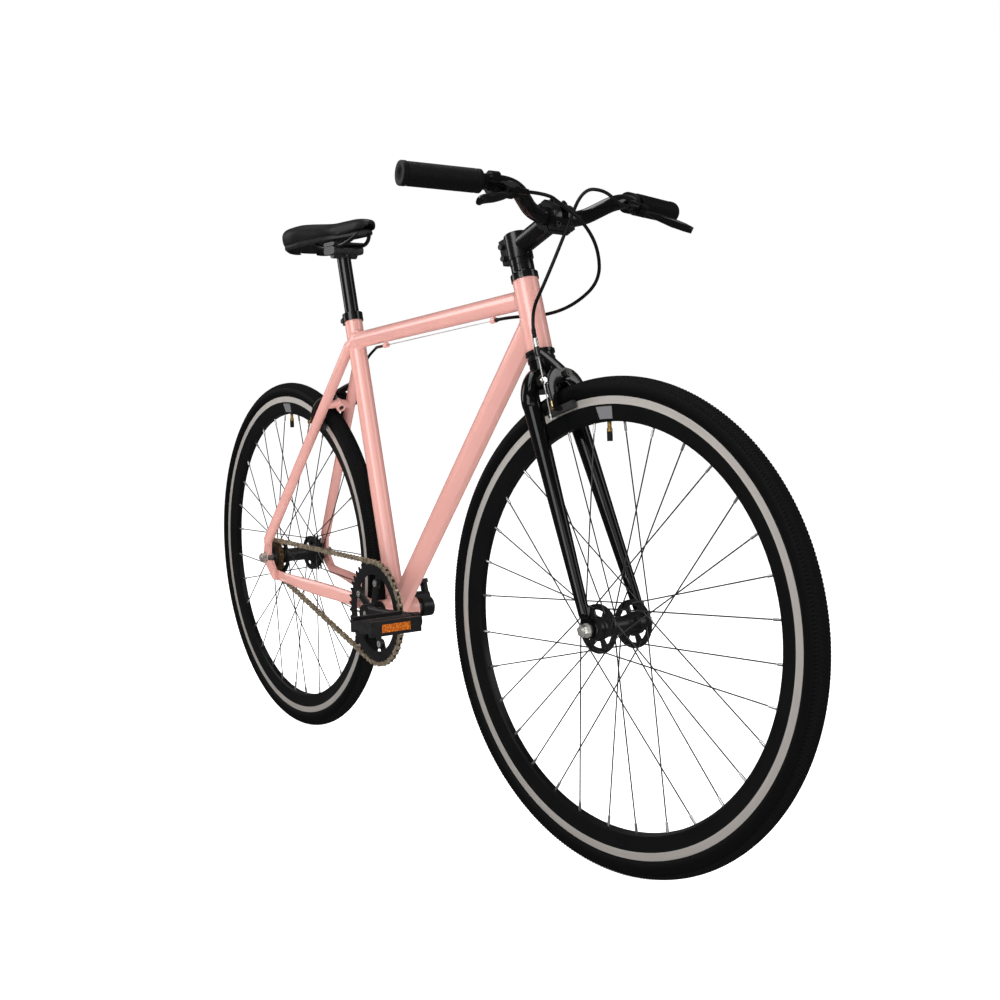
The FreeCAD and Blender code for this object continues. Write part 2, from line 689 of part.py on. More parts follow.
def make_wheel(side, valve_angle, flange_offset, place):
    """Rim, spokes, hub, tyre, inner tube and valve of one wheel."""
    nose = "rim_outer_radius - rim_depth"
    bed = "rim_outer_radius - rim_bed_depth"
    rim_half = [(bed, "rim_width / 2 - rim_wall"), ("rim_outer_radius", "rim_width / 2 - rim_wall"),
                ("rim_outer_radius", "rim_width / 2"), ("rim_outer_radius - rim_track_height", "rim_width / 2"),
                (nose + " + 2 * rim_wall", "rim_nose_width / 2 + rim_wall"), (nose, "rim_nose_width / 2")]
    hollow_half = [(bed + " - rim_wall", "rim_width / 2 - 2 * rim_wall"),
                   (nose + " + 3 * rim_wall", "rim_nose_width / 2 - rim_wall / 3")]
    rim_ring = turned_body(side + "_rim_ring", "XY_Plane", [mirrored(rim_half), mirrored(hollow_half)])
    hub_half = [("hub_shell_radius", side + "_flange_offset - hub_neck_radius"),
                ("hub_neck_radius", side + "_flange_offset - flange_thickness / 2"),
                ("flange_radius", side + "_flange_offset - flange_thickness / 2"),
                ("flange_radius", side + "_flange_offset + flange_thickness / 2"),
                ("hub_end_radius", side + "_flange_offset + flange_thickness / 2"),
                ("hub_end_radius", side + "_hub_half"),
                (side + "_axle_radius + running_clearance", side + "_hub_half"),
                (side + "_axle_radius + running_clearance", side + "_hub_half - bearing_length"),
                ("hub_bore_radius", side + "_hub_half - bearing_length")]
    hub_shell = turned_body(side + "_hub_shell", "XY_Plane", [mirrored(hub_half)])

    rim_holes = []
    hub_holes = []
    spokes = []
    count = int(dim.spoke_pairs)
    step = 360 / count
    for half in (LEFT_SIDE, RIGHT_SIDE):
        start = valve_angle + (step * 3 / 8 if half == LEFT_SIDE else step / 8)
        for outside, leading, shift in ((True, 1, 0), (False, -1, step / 2)):
            spoke = make_spoke(flange_offset, half, outside, leading)
            hub_end, rim_end = spoke_ends(flange_offset, half, outside, leading)
            along = (rim_end - hub_end).normalize()
            rim_hole = rod(rim_end - along * dim.nipple_length, rim_end + along * dim.nipple_length / 2,
                           dim.nipple_radius + dim.sliding_clearance)
            face = dim.flange_thickness
            hub_hole = rod(around(0, dim.spoke_circle, half * (flange_offset - face)),
                           around(0, dim.spoke_circle, half * (flange_offset + face)),
                           dim.spoke_radius + dim.sliding_clearance)
            for index in range(count):
                angle = start + shift + index * step
                spokes.append(spun(spoke, angle))
                rim_holes.append(spun(rim_hole, angle))
                hub_holes.append(spun(hub_hole, angle))
    rim_holes.append(rod(around(valve_angle, dim.rim_outer_radius - dim.rim_depth * 1.2, 0),
                         around(valve_angle, dim.rim_outer_radius, 0),
                         dim.valve_radius + dim.sliding_clearance))
    window_outer = dim.spoke_circle - 3 * dim.spoke_radius
    window_inner = dim.hub_neck_radius + dim.spoke_radius
    windows = 6
    for half in (LEFT_SIDE, RIGHT_SIDE):
        for index in range(windows):
            low = half * flange_offset - dim.flange_thickness
            wedge = Part.makeCylinder(window_outer, 2 * dim.flange_thickness, LEFT * low, LEFT, 38)
            wedge = wedge.cut(Part.makeCylinder(window_inner, 2 * dim.flange_thickness, LEFT * low, LEFT))
            hub_holes.append(spun(wedge, index * 360 / windows))
    drilled(side + "_rim", rim_ring, rim_holes, place)
    drilled(side + "_hub", hub_shell, hub_holes, place)
    node(side + "_spokes", Part.Compound(spokes), place)
    make_tyre(side, place)
    make_inner_tube(side, valve_angle, place)
    make_valve(side, valve_angle, place)


def make_axle(name, axle_radius, dropout_gap, hub_half, place):
    """Axle with cones, washers and nuts."""
    inner = dropout_gap / 2
    outer = inner + dim.dropout_thickness
    nut_start = outer + dim.washer_thickness
    nut_end = nut_start + dim.axle_nut_length
    tip = nut_end + dim.axle_end
    pieces = [rod(LEFT * -tip, LEFT * tip, axle_radius)]
    for half in (LEFT_SIDE, RIGHT_SIDE):
        side = LEFT * half
        pieces.append(rod(side * (hub_half + dim.side_clearance), side * inner, dim.cone_radius))
        pieces.append(rod(side * outer, side * nut_start, dim.washer_radius))
        pieces.append(hexagon(side * nut_start, side * nut_end, dim.axle_nut_radius))
    node(name, joined(pieces), place)


make_wheel("front", dim.front_valve_angle, dim.front_flange_offset, front_wheel_place)
make_wheel("rear", dim.rear_valve_angle, dim.rear_flange_offset, rear_wheel_place)
make_axle("front_axle", dim.front_axle_radius, dim.front_dropout_gap, dim.front_hub_half, front_wheel_place)
make_axle("rear_axle", dim.rear_axle_radius, dim.rear_dropout_gap, dim.rear_hub_half, rear_wheel_place)


# Chain, chainring and sprockets
def chain_joints():
    """Places of the chain rollers round chainring and sprocket, and the first roller on each."""
    ring = dim.chain_pitch * dim.ring_teeth / (2 * math.pi)
    sprocket = dim.chain_pitch * dim.sprocket_teeth / (2 * math.pi)
    towards = (bracket_place - rear_axle_place).normalize()
    base = math.atan2(towards.z, towards.x)
    lean = math.asin((ring - sprocket) / centre_distance)
    straight = centre_distance * math.cos(lean)
    top = base + math.pi / 2 + lean
    ring_arc = ring * (math.pi + 2 * lean)
    sprocket_arc = sprocket * (math.pi - 2 * lean)
    along_top = Vector(math.cos(top - math.pi / 2), 0, math.sin(top - math.pi / 2))
    bottom = base - math.pi / 2 - lean
    along_bottom = Vector(math.cos(bottom - math.pi / 2), 0, math.sin(bottom - math.pi / 2))
    joints = []
    ring_angle = None
    sprocket_angle = None
    for index in range(int(dim.chain_links)):
        run = index * dim.chain_pitch
        if run < ring_arc:
            angle = top - run / ring
            ring_angle = angle if ring_angle is None else ring_angle
            place = bracket_place + Vector(math.cos(angle), 0, math.sin(angle)) * ring
        elif run < ring_arc + straight:
            leaving = bracket_place + Vector(math.cos(bottom), 0, math.sin(bottom)) * ring
            place = leaving + along_bottom * (run - ring_arc)
        elif run < ring_arc + straight + sprocket_arc:
            angle = bottom - (run - ring_arc - straight) / sprocket
            sprocket_angle = angle if sprocket_angle is None else sprocket_angle
            place = rear_axle_place + Vector(math.cos(angle), 0, math.sin(angle)) * sprocket
        else:
            leaving = rear_axle_place + Vector(math.cos(top), 0, math.sin(top)) * sprocket
            place = leaving + along_top * (run - ring_arc - straight - sprocket_arc)
        joints.append(place)
    return joints, math.degrees(ring_angle), math.degrees(sprocket_angle)


def chain_plate(low, high, hole):
    """A pair of link plates along X between two places from the middle of the chain."""
    half = dim.chain_plate_height / 2
    waist = half * 0.72
    plates = []
    for side in (LEFT_SIDE, RIGHT_SIDE):
        near = LEFT * (side * low)
        far = LEFT * (side * high)
        along = AHEAD * dim.chain_pitch
        middle = block(near - UP * waist, far + along + UP * waist)
        plate = rod(near, far, half).multiFuse([rod(near + along, far + along, half), middle])
        if hole > 0:
            plate = plate.cut([rod(near - far, far * 2, hole), rod(near - far + along, far * 2 + along, hole)])
        plates.append(plate.removeSplitter())
    return plates


def make_chain(joints):
    """Roller chain: inner links with rollers, outer links with pins."""
    along = AHEAD * dim.chain_pitch
    gap = dim.sliding_clearance
    inner_low = dim.roller_width / 2
    inner_high = inner_low + dim.chain_plate
    outer_low = inner_high + gap
    outer_high = outer_low + dim.chain_plate
    bore = dim.chain_pin_radius + gap
    roller = tube(LEFT * -inner_low, LEFT * inner_low, dim.roller_radius, bore)
    inner_plates = chain_plate(inner_low, inner_high, bore)
    inner = inner_plates[0].multiFuse([inner_plates[1], roller, roller.translated(along)])
    pin = rod(LEFT * -outer_high, LEFT * outer_high, dim.chain_pin_radius)
    outer_plates = chain_plate(outer_low, outer_high, 0)
    outer = outer_plates[0].multiFuse([outer_plates[1], pin, pin.translated(along)])
    links = []
    for index, place in enumerate(joints):
        onward = joints[(index + 1) % len(joints)] - place
        master = inner if index % 2 == 0 else outer
        turn = Rotation(LEFT, -math.degrees(math.atan2(onward.z, onward.x)))
        slack = onward.normalize() * ((joints[(index + 1) % len(joints)] - place).Length - dim.chain_pitch) / 2
        link = master.copy()
        link.Placement = Placement(place + slack - LEFT * dim.chain_line, turn)
        links.append(link)
    node("chain", Part.Compound(links))


joints, ring_phase, sprocket_phase = chain_joints()
make_chain(joints)

tooth_half = dim.tooth_thickness / 2
ring_inner = dim.chain_pitch * dim.ring_teeth / (2 * math.pi) - dim.ring_rim
spider_face = dim.chain_line + tooth_half
spider_back = spider_face + dim.spider_thickness
ring_disc = toothed_disc(dim.ring_teeth, ring_phase - dim.crank_turn, -spider_face, -dim.chain_line + tooth_half)
ring_opening = rod(LEFT * -(spider_face + tooth_half), LEFT * -(dim.chain_line - 2 * tooth_half), ring_inner)
lobes = []
lobe_holes = []
bolts = []
spider = []
for index in range(int(dim.spider_arms)):
    angle = index * 360 / dim.spider_arms
    bolt_low = around(0, dim.bolt_circle, -(spider_back + tooth_half))
    bolt_face = around(0, dim.bolt_circle, -spider_face)
    bolt_inner = around(0, dim.bolt_circle, -dim.chain_line + tooth_half)
    bolt_high = around(0, dim.bolt_circle, -dim.chain_line + 2 * tooth_half)
    lobe = rod(bolt_face, bolt_inner, dim.ring_lobe_radius)
    web = block(bolt_face - UP * dim.ring_lobe_radius,
                Vector(ring_inner + dim.tooth_height, bolt_inner.y, dim.ring_lobe_radius))
    lobes.append(spun(lobe.fuse(web), angle))
    lobe_holes.append(spun(rod(bolt_low, bolt_high, dim.ring_bolt_radius + dim.sliding_clearance), angle))
    shank = rod(bolt_low, bolt_high, dim.ring_bolt_radius)
    outer_head = rod(bolt_low, around(0, dim.bolt_circle, -spider_back), dim.ring_bolt_head)
    inner_head = rod(bolt_inner, bolt_high, dim.ring_bolt_head)
    socket = hexagon(bolt_low - LEFT, bolt_low + LEFT * tooth_half * 2, dim.ring_bolt_radius * 0.7)
    bolts.append(spun(shank.multiFuse([outer_head, inner_head]).cut(socket), angle))
    arm_start = LEFT * -(spider_face + dim.spider_thickness / 2)
    arm_end = arm_start + AHEAD * dim.bolt_circle
    half_thick = dim.spider_thickness * 0.46
    arm = limb([arm_start, (arm_start + arm_end) / 2, arm_end],
               [(dim.ring_lobe_radius * 1.15, half_thick), (dim.ring_lobe_radius, half_thick),
                (dim.ring_lobe_radius * 0.8, half_thick)], LEFT, 4)
    eye = rod(bolt_face, around(0, dim.bolt_circle, -spider_back), dim.ring_lobe_radius)
    spider.append(spun(arm.fuse(eye), angle))
ring_shape = ring_disc.cut(ring_opening).multiFuse(lobes).cut(lobe_holes).removeSplitter()
node("chainring", ring_shape, crank_place)
node("chainring_bolts", Part.Compound(bolts), crank_place)

# Freewheel on the right of the rear hub, fixed sprocket with lockring on the left
core_low = "-rear_hub_half + sliding_clearance"
core_high = "-rear_flange_offset - flange_thickness / 2 - sliding_clearance"
core_collar = "-chain_line + tooth_thickness * 2"
core_body = turned_body("freewheel_core", "XY_Plane", [[
    ("hub_end_radius", core_low), ("freewheel_core_radius", core_low),
    ("freewheel_core_radius", core_collar), ("freewheel_core_radius - side_clearance * 4", core_collar),
    ("freewheel_core_radius - side_clearance * 4", core_high), ("hub_end_radius", core_high)]])
keep(core_body, rear_wheel_place)
freewheel_low = -(dim.chain_line + 1.6 * dim.tooth_thickness)
freewheel_high = -(dim.chain_line - 2 * dim.tooth_thickness)
freewheel_bore = dim.freewheel_core_radius + dim.running_clearance
sprocket_disc = toothed_disc(dim.sprocket_teeth, sprocket_phase, -dim.chain_line - tooth_half,
                             -dim.chain_line + tooth_half)
freewheel_body = rod(LEFT * freewheel_low, LEFT * freewheel_high, dim.freewheel_radius)
freewheel_hole = rod(LEFT * (freewheel_low - 1), LEFT * (freewheel_high + 1), freewheel_bore)
node("freewheel", sprocket_disc.fuse(freewheel_body).cut(freewheel_hole).removeSplitter(), rear_wheel_place)
cog_disc = toothed_disc(dim.sprocket_teeth, 0, dim.chain_line - tooth_half, dim.chain_line + tooth_half)
cog_low = dim.rear_flange_offset + dim.flange_thickness / 2 + dim.spoke_stand_out + 2 * dim.spoke_radius
cog_body = rod(LEFT * cog_low, LEFT * (dim.chain_line + 2 * tooth_half), dim.freewheel_core_radius)
lockring = hexagon(LEFT * (dim.chain_line + 2 * tooth_half), LEFT * (dim.rear_hub_half - 1),
                   dim.freewheel_core_radius)
cog_bore = rod(LEFT * (cog_low - 1), LEFT * (dim.rear_hub_half + 1), dim.hub_end_radius)
node("fixed_cog", cog_disc.multiFuse([cog_body, lockring]).cut(cog_bore).removeSplitter(), rear_wheel_place)

# Cranks, spindle and bottom bracket
spindle_shoulder = dim.bracket_half + 4
crank_outer_face = dim.crank_inner_face + dim.crank_thickness
square = dim.spindle_square / 2
spindle_core = rod(LEFT * -spindle_shoulder, LEFT * spindle_shoulder, dim.spindle_radius)
spindle_end = dim.crank_inner_face + dim.crank_thickness / 2
spindle_flats = block(Vector(-square, -spindle_end, -square), Vector(square, spindle_end, square))
crank_bolts = []
for half in (LEFT_SIDE, RIGHT_SIDE):
    crank_bolts.append(rod(LEFT * (half * spindle_end), LEFT * (half * (crank_outer_face - 1)), square))
spindle_round = rod(LEFT * -crank_outer_face, LEFT * crank_outer_face, dim.spindle_radius)
spindle_shape = spindle_core.multiFuse([spindle_flats.common(spindle_round)] + crank_bolts)
node("crank_spindle", spindle_shape, crank_place)

arm_middle = dim.crank_inner_face + dim.crank_thickness / 2
eye_middle = arm_middle + dim.crank_flare
half_thick = dim.crank_thickness / 2
arm_thick = half_thick * 0.93


def crank_arm(side):
    """Crank arm along X on one side of the bicycle, without its spider."""
    hub = rod(LEFT * (side * spider_face), LEFT * (side * crank_outer_face), dim.crank_hub_radius)
    start = LEFT * (side * arm_middle)
    end = AHEAD * dim.crank_length + LEFT * (side * eye_middle)
    quarter = start + (end - start) * 0.3
    arm = limb([start, quarter, start + (end - start) * 0.65, end],
               [(dim.crank_hub_radius * 0.9, arm_thick), (dim.crank_hub_radius * 0.72, arm_thick),
                (dim.crank_eye_radius * 0.85, arm_thick), (dim.crank_eye_radius * 0.92, arm_thick)],
               LEFT, 3.2)
    eye = rod(end - LEFT * half_thick, end + LEFT * half_thick, dim.crank_eye_radius)
    return joined([hub, arm, eye])


def crank_holes(side):
    """Square spindle hole, bolt hole and pedal hole of a crank."""
    fit = square + dim.sliding_clearance
    corner = dim.spindle_radius + dim.sliding_clearance
    taper_hole = block(Vector(-fit, side * (spider_face - 1), -fit), Vector(fit, side * spindle_end, fit))
    round_limit = rod(LEFT * (side * (spider_face - 1)), LEFT * (side * spindle_end), corner)
    bolt_hole = rod(LEFT * (side * (spindle_end - 1)), LEFT * (side * (crank_outer_face + 1)), fit)
    pedal_hole = rod(Vector(dim.crank_length, side * arm_middle / 2, 0),
                     Vector(dim.crank_length, side * arm_middle * 2, 0), dim.pedal_axle_radius)
    return [taper_hole.common(round_limit), bolt_hole, pedal_hole]


right_crank_shape = joined([crank_arm(RIGHT_SIDE)] + spider)
node("right_crank", carved(right_crank_shape, lobe_holes + crank_holes(RIGHT_SIDE)), crank_place)
left_crank_place = crank_place.multiply(Placement(Vector(), Rotation(LEFT, 180)))
left_crank_shape = carved(crank_arm(RIGHT_SIDE), crank_holes(RIGHT_SIDE)).mirror(Vector(), LEFT)
node("left_crank", left_crank_shape, left_crank_place)

bracket_half_profile = [("spindle_radius + running_clearance", "bracket_half - bearing_length * 2"),
                        ("bracket_bore", "bracket_half - bearing_length * 2"), ("bracket_bore", "bracket_half"),
                        ("bracket_radius - tube_thickness", "bracket_half"),
                        ("bracket_radius - tube_thickness", "bracket_half + tube_thickness"),
                        ("spindle_radius + running_clearance", "bracket_half + tube_thickness")]
other_half_profile = [(across, "-(" + along + ")") for across, along in bracket_half_profile]
left_cup = turned_body("bottom_bracket_left_cup", "XY_Plane", [bracket_half_profile])
right_cup = turned_body("bottom_bracket_right_cup", "XY_Plane", [other_half_profile])
bracket_cups = doc.addObject("Part::Compound", "bottom_bracket")
bracket_cups.Links = [left_cup, right_cup]
keep(bracket_cups, Placement(bracket_place, Rotation()))

# Pedals
pedal_start = eye_middle + half_thick + dim.side_clearance * 3
pedal_end = pedal_start + dim.pedal_length
pedal_cap = dim.pedal_bar
axles = []
for half in (LEFT_SIDE, RIGHT_SIDE):
    forward = AHEAD * (-half * dim.crank_length)
    inner_end = LEFT * (half * (eye_middle - half_thick))
    collar_end = LEFT * (half * (pedal_start - dim.side_clearance))
    outer_end = LEFT * (half * (pedal_end - pedal_cap))
    collar_start = LEFT * (half * (eye_middle + half_thick))
    spindle = rod(forward + inner_end, forward + outer_end, dim.pedal_axle_radius)
    collar = rod(forward + collar_start, forward + collar_end, dim.pedal_axle_radius * 1.5)
    axles.append(spindle.fuse(collar))
node("pedal_axles", Part.Compound(axles), crank_place)


def make_pedal(name, side, place):
    """Platform pedal: barrel, two bars and three ribs, with a reflector on each bar."""
    low = side * pedal_start
    high = side * pedal_end
    barrel = rod(LEFT * low, LEFT * high, dim.pedal_barrel_radius)
    bore = rod(LEFT * (low - side), LEFT * (high - side * (pedal_cap - dim.side_clearance)),
               dim.pedal_axle_radius + dim.running_clearance)
    half_wide = dim.pedal_width / 2
    half_high = dim.pedal_height / 2
    pieces = [barrel]
    reflectors = []
    recess = dim.pedal_bar / 4
    for front in (1, -1):
        outer = front * half_wide
        bar = block(Vector(outer, low, -half_high), Vector(outer - front * dim.pedal_bar, high, half_high))
        inset = dim.pedal_length * 0.22
        pocket = block(Vector(outer, low + side * inset, -half_high * 0.55),
                       Vector(outer - front * recess, high - side * inset, half_high * 0.55))
        pieces.append(bar.cut(pocket))
        gap = dim.sliding_clearance
        reflectors.append(block(
            Vector(outer - front * gap, low + side * (inset + gap), -half_high * 0.55 + gap),
            Vector(outer - front * recess, high - side * (inset + gap), half_high * 0.55 - gap)))
    rib_high = half_high * 0.6
    middle = (low + high - side * dim.pedal_bar) / 2
    for start in (low, middle, high - side * dim.pedal_bar):
        pieces.append(block(Vector(-half_wide + dim.pedal_bar / 2, start, -rib_high),
                            Vector(half_wide - dim.pedal_bar / 2, start + side * dim.pedal_bar, rib_high)))
    node(name, joined(pieces).cut(bore), place)
    node(name + "_reflectors", Part.Compound(reflectors), place)


for name, half in (("right_pedal", RIGHT_SIDE), ("left_pedal", LEFT_SIDE)):
    pedal_centre = crank_place.multVec(AHEAD * (-half * dim.crank_length))
    hang = dim.left_pedal_turn if half == LEFT_SIDE else 0
    make_pedal(name, half, Placement(pedal_centre, Rotation(LEFT, hang)))

# Frame
head_top = dim.head_bottom + dim.head_length
top_front = on_head(head_top - dim.top_tube_drop)
top_rear = on_seat_tube(dim.top_tube_seat)
down_front = on_head(head_top - dim.down_tube_drop)
wall = dim.tube_thickness
along_top_tube = (top_rear - top_front).normalize()
along_down_tube = (bracket_place - down_front).normalize()
under_top_tube = along_top_tube.cross(LEFT).normalize()
if under_top_tube.z > 0:
    under_top_tube = under_top_tube * -1

down_tube = rod(down_front, bracket_place, dim.down_tube_radius)
below_down_tube = along_down_tube.cross(LEFT).normalize()
if below_down_tube.z > 0:
    below_down_tube = below_down_tube * -1
for side in (LEFT_SIDE, RIGHT_SIDE):
    flat_normal = (below_down_tube + LEFT * side).normalize()
    flat_side = along_down_tube.cross(flat_normal)
    reach = dim.down_tube_radius * 2
    corner = down_front + flat_normal * dim.down_tube_flat - flat_side * reach
    length = (bracket_place - down_front).Length
    flat = Part.makePolygon([corner, corner + flat_side * (2 * reach),
                             corner + flat_side * (2 * reach) + flat_normal * reach,
                             corner + flat_normal * reach, corner])
    down_tube = down_tube.cut(Part.Face(flat).extrude(along_down_tube * length))

stay_side = (dim.rear_dropout_gap + dim.dropout_thickness) / 2
stay_foot = rear_axle_place + Vector(dim.stay_foot_forward, stay_side, dim.stay_foot_up)
stay_head = on_seat_tube(dim.stay_top) + Vector(-dim.stay_top_back, dim.stay_top_side, 0)
chain_stay_foot = rear_axle_place + Vector(dim.chain_stay_foot_forward, stay_side, -dim.chain_stay_foot_down)


def chain_stay(shrink):
    """Left chain stay, made thinner by shrink all round for its hollow."""
    start = Vector(bracket_place.x, 0, bracket_place.z)
    end = Vector(chain_stay_foot.x, 0, chain_stay_foot.z)
    waist = dim.chain_stay_waist
    tall = dim.chain_stay_height / 2 - shrink
    wide = dim.chain_stay_width / 2 - shrink
    stations = [(0.02, waist * 0.86, tall, wide), (0.14, waist * 0.97, tall, wide),
                (0.26, waist, tall * 0.94, wide * 0.88), (0.42, waist * 1.19, tall * 0.94, wide * 0.92),
                (0.7, waist + (stay_side - waist) * 0.66, tall * 0.9, wide * 0.9),
                (1.0 - shrink * 0.015, stay_side, tall * 0.78, wide * 0.78)]
    sections = []
    for part, side, high, broad in stations:
        centre = start + (end - start) * part + LEFT * side
        sections.append(oval(centre, LEFT, UP, broad, high, 2))
    return lofted(sections)


def rear_dropout():
    """Left dropout plate with a slot open to the front."""
    inner = dim.rear_dropout_gap / 2
    outer = inner + dim.dropout_thickness
    axle = Vector(rear_axle_place.x, 0, rear_axle_place.z)
    plates = []
    for foot, radius in ((stay_foot, dim.stay_radius), (chain_stay_foot, dim.chain_stay_height * 0.36)):
        end = Vector(foot.x, 0, foot.z)
        across = (end - axle).cross(LEFT).normalize()
        outline = Part.makePolygon([axle + across * dim.dropout_eye, end + across * radius,
                                    end - across * radius, axle - across * dim.dropout_eye,
                                    axle + across * dim.dropout_eye])
        plates.append(Part.Face(outline).extrude(LEFT * (outer - inner)).translated(LEFT * inner))
        plates.append(rod(end + LEFT * inner, end + LEFT * outer, radius))
    plates.append(rod(axle + LEFT * inner, axle + LEFT * outer, dim.dropout_eye))
    return joined(plates)


slot_half = dim.rear_axle_radius + dim.sliding_clearance
past_stays = LEFT * (stay_side + wall * 5)
slot_round = rod(rear_axle_place - past_stays, rear_axle_place + past_stays,
                 slot_half)
slot_straight = block(rear_axle_place - LEFT * (stay_side + wall * 5) - UP * slot_half,
                      rear_axle_place + LEFT * (stay_side + wall * 5) + UP * slot_half
                      + AHEAD * dim.dropout_eye * 3)

# Brake bridge, set out along the seat stays from the rear axle
along_stay = Vector(stay_head.x - stay_foot.x, 0, stay_head.z - stay_foot.z).normalize()
behind_stay = LEFT.cross(along_stay) * -1
brake_height = dim.rim_outer_radius - dim.rim_track_height / 2 + 0.5 + dim.brake_reach
stay_offset = (stay_foot - rear_axle_place).dot(behind_stay)
rear_brake_face = stay_offset + dim.stay_radius + dim.side_clearance * 3 - dim.brake_spacer
rear_brake_place = Placement(rear_axle_place + along_stay * brake_height + behind_stay * rear_brake_face,
                             Rotation(behind_stay, LEFT * -1, along_stay, "XZY"))
bridge_middle = rear_axle_place + along_stay * (brake_height + dim.bridge_rise / 2) \
    + behind_stay * (stay_offset - dim.bridge_forward)
stay_share = (along_stay.dot(bridge_middle - stay_foot) - dim.bridge_rise) / along_stay.dot(stay_head - stay_foot)
bridge_end = stay_foot + (stay_head - stay_foot) * stay_share
boss_front = rear_brake_place.multVec(AHEAD * -(dim.bridge_radius * 2 + dim.bridge_forward - 5))
boss_rear = rear_brake_place.multVec(Vector())

stop_axis = under_top_tube * dim.stop_below
front_stop = top_front + along_top_tube * dim.stop_front + stop_axis
rear_stop = top_rear - along_top_tube * dim.stop_rear + stop_axis
half_stop = along_top_tube * (dim.stop_length / 2)

frame_outside = [rod(on_head(dim.head_bottom), on_head(head_top), dim.head_radius),
                 rod(top_front, top_rear, dim.top_tube_radius), down_tube,
                 rod(bracket_place, on_seat_tube(dim.seat_tube_length), dim.seat_tube_radius),
                 rod(bracket_place - LEFT * dim.bracket_half, bracket_place + LEFT * dim.bracket_half,
                     dim.bracket_radius),
                 rod(boss_front, boss_rear, dim.boss_radius)]
frame_outside += both_sides(rod(stay_foot, stay_head, dim.stay_radius))
along_left_stay = (stay_head - stay_foot).normalize()
frame_outside += both_sides(taper(stay_head, stay_head + along_left_stay * dim.stay_radius * 1.2,
                                  dim.stay_radius * 0.98, dim.stay_radius * 0.4))
frame_outside += both_sides(taper(stay_foot, stay_foot - along_left_stay * dim.stay_radius * 1.2,
                                  dim.stay_radius * 0.98, dim.stay_radius * 0.5))
frame_outside += both_sides(chain_stay(0))
frame_outside += both_sides(rear_dropout())
frame_outside += both_sides(rod(bridge_end, bridge_middle, dim.bridge_radius))
for stop in (front_stop, rear_stop):
    frame_outside.append(rod(stop - half_stop, stop + half_stop, dim.stop_radius))
    lug = dim.stop_radius * 0.7
    frame_outside.append(rod(stop, stop - stop_axis * 0.5, lug))

frame_hollow = [rod(on_head(dim.head_bottom - 1), on_head(head_top + 1), dim.head_bore),
                rod(top_front, top_rear, dim.top_tube_radius - wall),
                rod(down_front, bracket_place, dim.down_tube_flat - wall),
                rod(bracket_place, on_seat_tube(dim.seat_tube_length + 1), dim.post_radius + dim.sliding_clearance),
                rod(bracket_place - LEFT * (dim.bracket_half + 1), bracket_place + LEFT * (dim.bracket_half + 1),
                    dim.bracket_bore),
                rod(boss_front - behind_stay, boss_rear + behind_stay,
                    dim.brake_bolt_radius + dim.sliding_clearance),
                rod(boss_front - behind_stay * 10, boss_front + behind_stay * 4,
                    dim.brake_bolt_radius * 1.5 + dim.sliding_clearance),
                slot_round, slot_straight]
frame_hollow += both_sides(rod(stay_foot + (stay_head - stay_foot) * 0.05, stay_head, dim.stay_radius - wall))
frame_hollow += both_sides(chain_stay(wall))
for stop, towards in ((front_stop, -1), (rear_stop, 1)):
    frame_hollow.append(rod(stop - half_stop * 2, stop + half_stop * 2, dim.housing_bore))
    frame_hollow.append(rod(stop, stop + half_stop * (2 * towards), dim.housing_radius + dim.sliding_clearance))
node("frame", carved(joined(frame_outside), frame_hollow))

# Headset cups, cover and spacers
lower_face = dim.head_bottom - dim.cup_height
cup_bore = dim.steerer_radius + dim.running_clearance
lower_lip = tube(UP * (dim.head_bottom - dim.cup_lip_height), UP * dim.head_bottom, dim.cup_radius + dim.cup_lip,
                 cup_bore)
foot_lip = tube(UP * lower_face, UP * (lower_face + dim.cup_lip_height), dim.cup_radius, cup_bore)
waist = tube(UP * lower_face, UP * dim.head_bottom, dim.cup_radius - dim.cup_lip, cup_bore)
lower_cup = joined([waist, lower_lip, foot_lip])
lower_insert = tube(UP * dim.head_bottom, UP * (dim.head_bottom + dim.cup_insert), dim.head_bore, cup_bore)
upper_face = head_top + dim.upper_cup_height
upper_cup = tube(UP * head_top, UP * upper_face, dim.cup_radius, cup_bore)
upper_insert = tube(UP * (head_top - dim.cup_insert), UP * head_top, dim.head_bore, cup_bore)
cups = [lower_cup.fuse(lower_insert), upper_cup.fuse(upper_insert)]
node("headset_cups", Part.Compound(cups), straight_steering)

cover_low = "head_bottom + head_length + upper_cup_height + side_clearance"
cover_high = "head_bottom + head_length + upper_cup_height + cover_height"
stack_high = cover_high + " + spacer_stack"
groove_low = cover_high + " + spacer_stack / 2 - spacer_groove"
groove_high = cover_high + " + spacer_stack / 2 + spacer_groove"
spacers = turned_body("headset_spacers", "XZ_Plane", [[
    ("steerer_radius", cover_low), ("cup_radius", cover_low), ("cup_radius", cover_low + " + cover_height / 2"),
    ("spacer_radius", cover_high), ("spacer_radius", groove_low), ("spacer_radius - spacer_groove", groove_low),
    ("spacer_radius - spacer_groove", groove_high), ("spacer_radius", groove_high), ("spacer_radius", stack_high),
    ("steerer_radius", stack_high)]])
keep(spacers, turned_steering)

# Fork
stem_low = value_of(stack_high)
stem_high = stem_low + dim.stem_height
fork_end = dim.front_dropout_gap / 2
blade_foot = Vector(dim.fork_rake - 2, fork_end + dim.dropout_thickness / 2, dim.blade_foot_up)
shoulder = Vector(dim.steerer_radius * 0.3, dim.blade_shoulder_side, dim.blade_shoulder_up)
blade_line = (shoulder - blade_foot).normalize()
crown_middle = (dim.crown_bottom + dim.crown_top) / 2


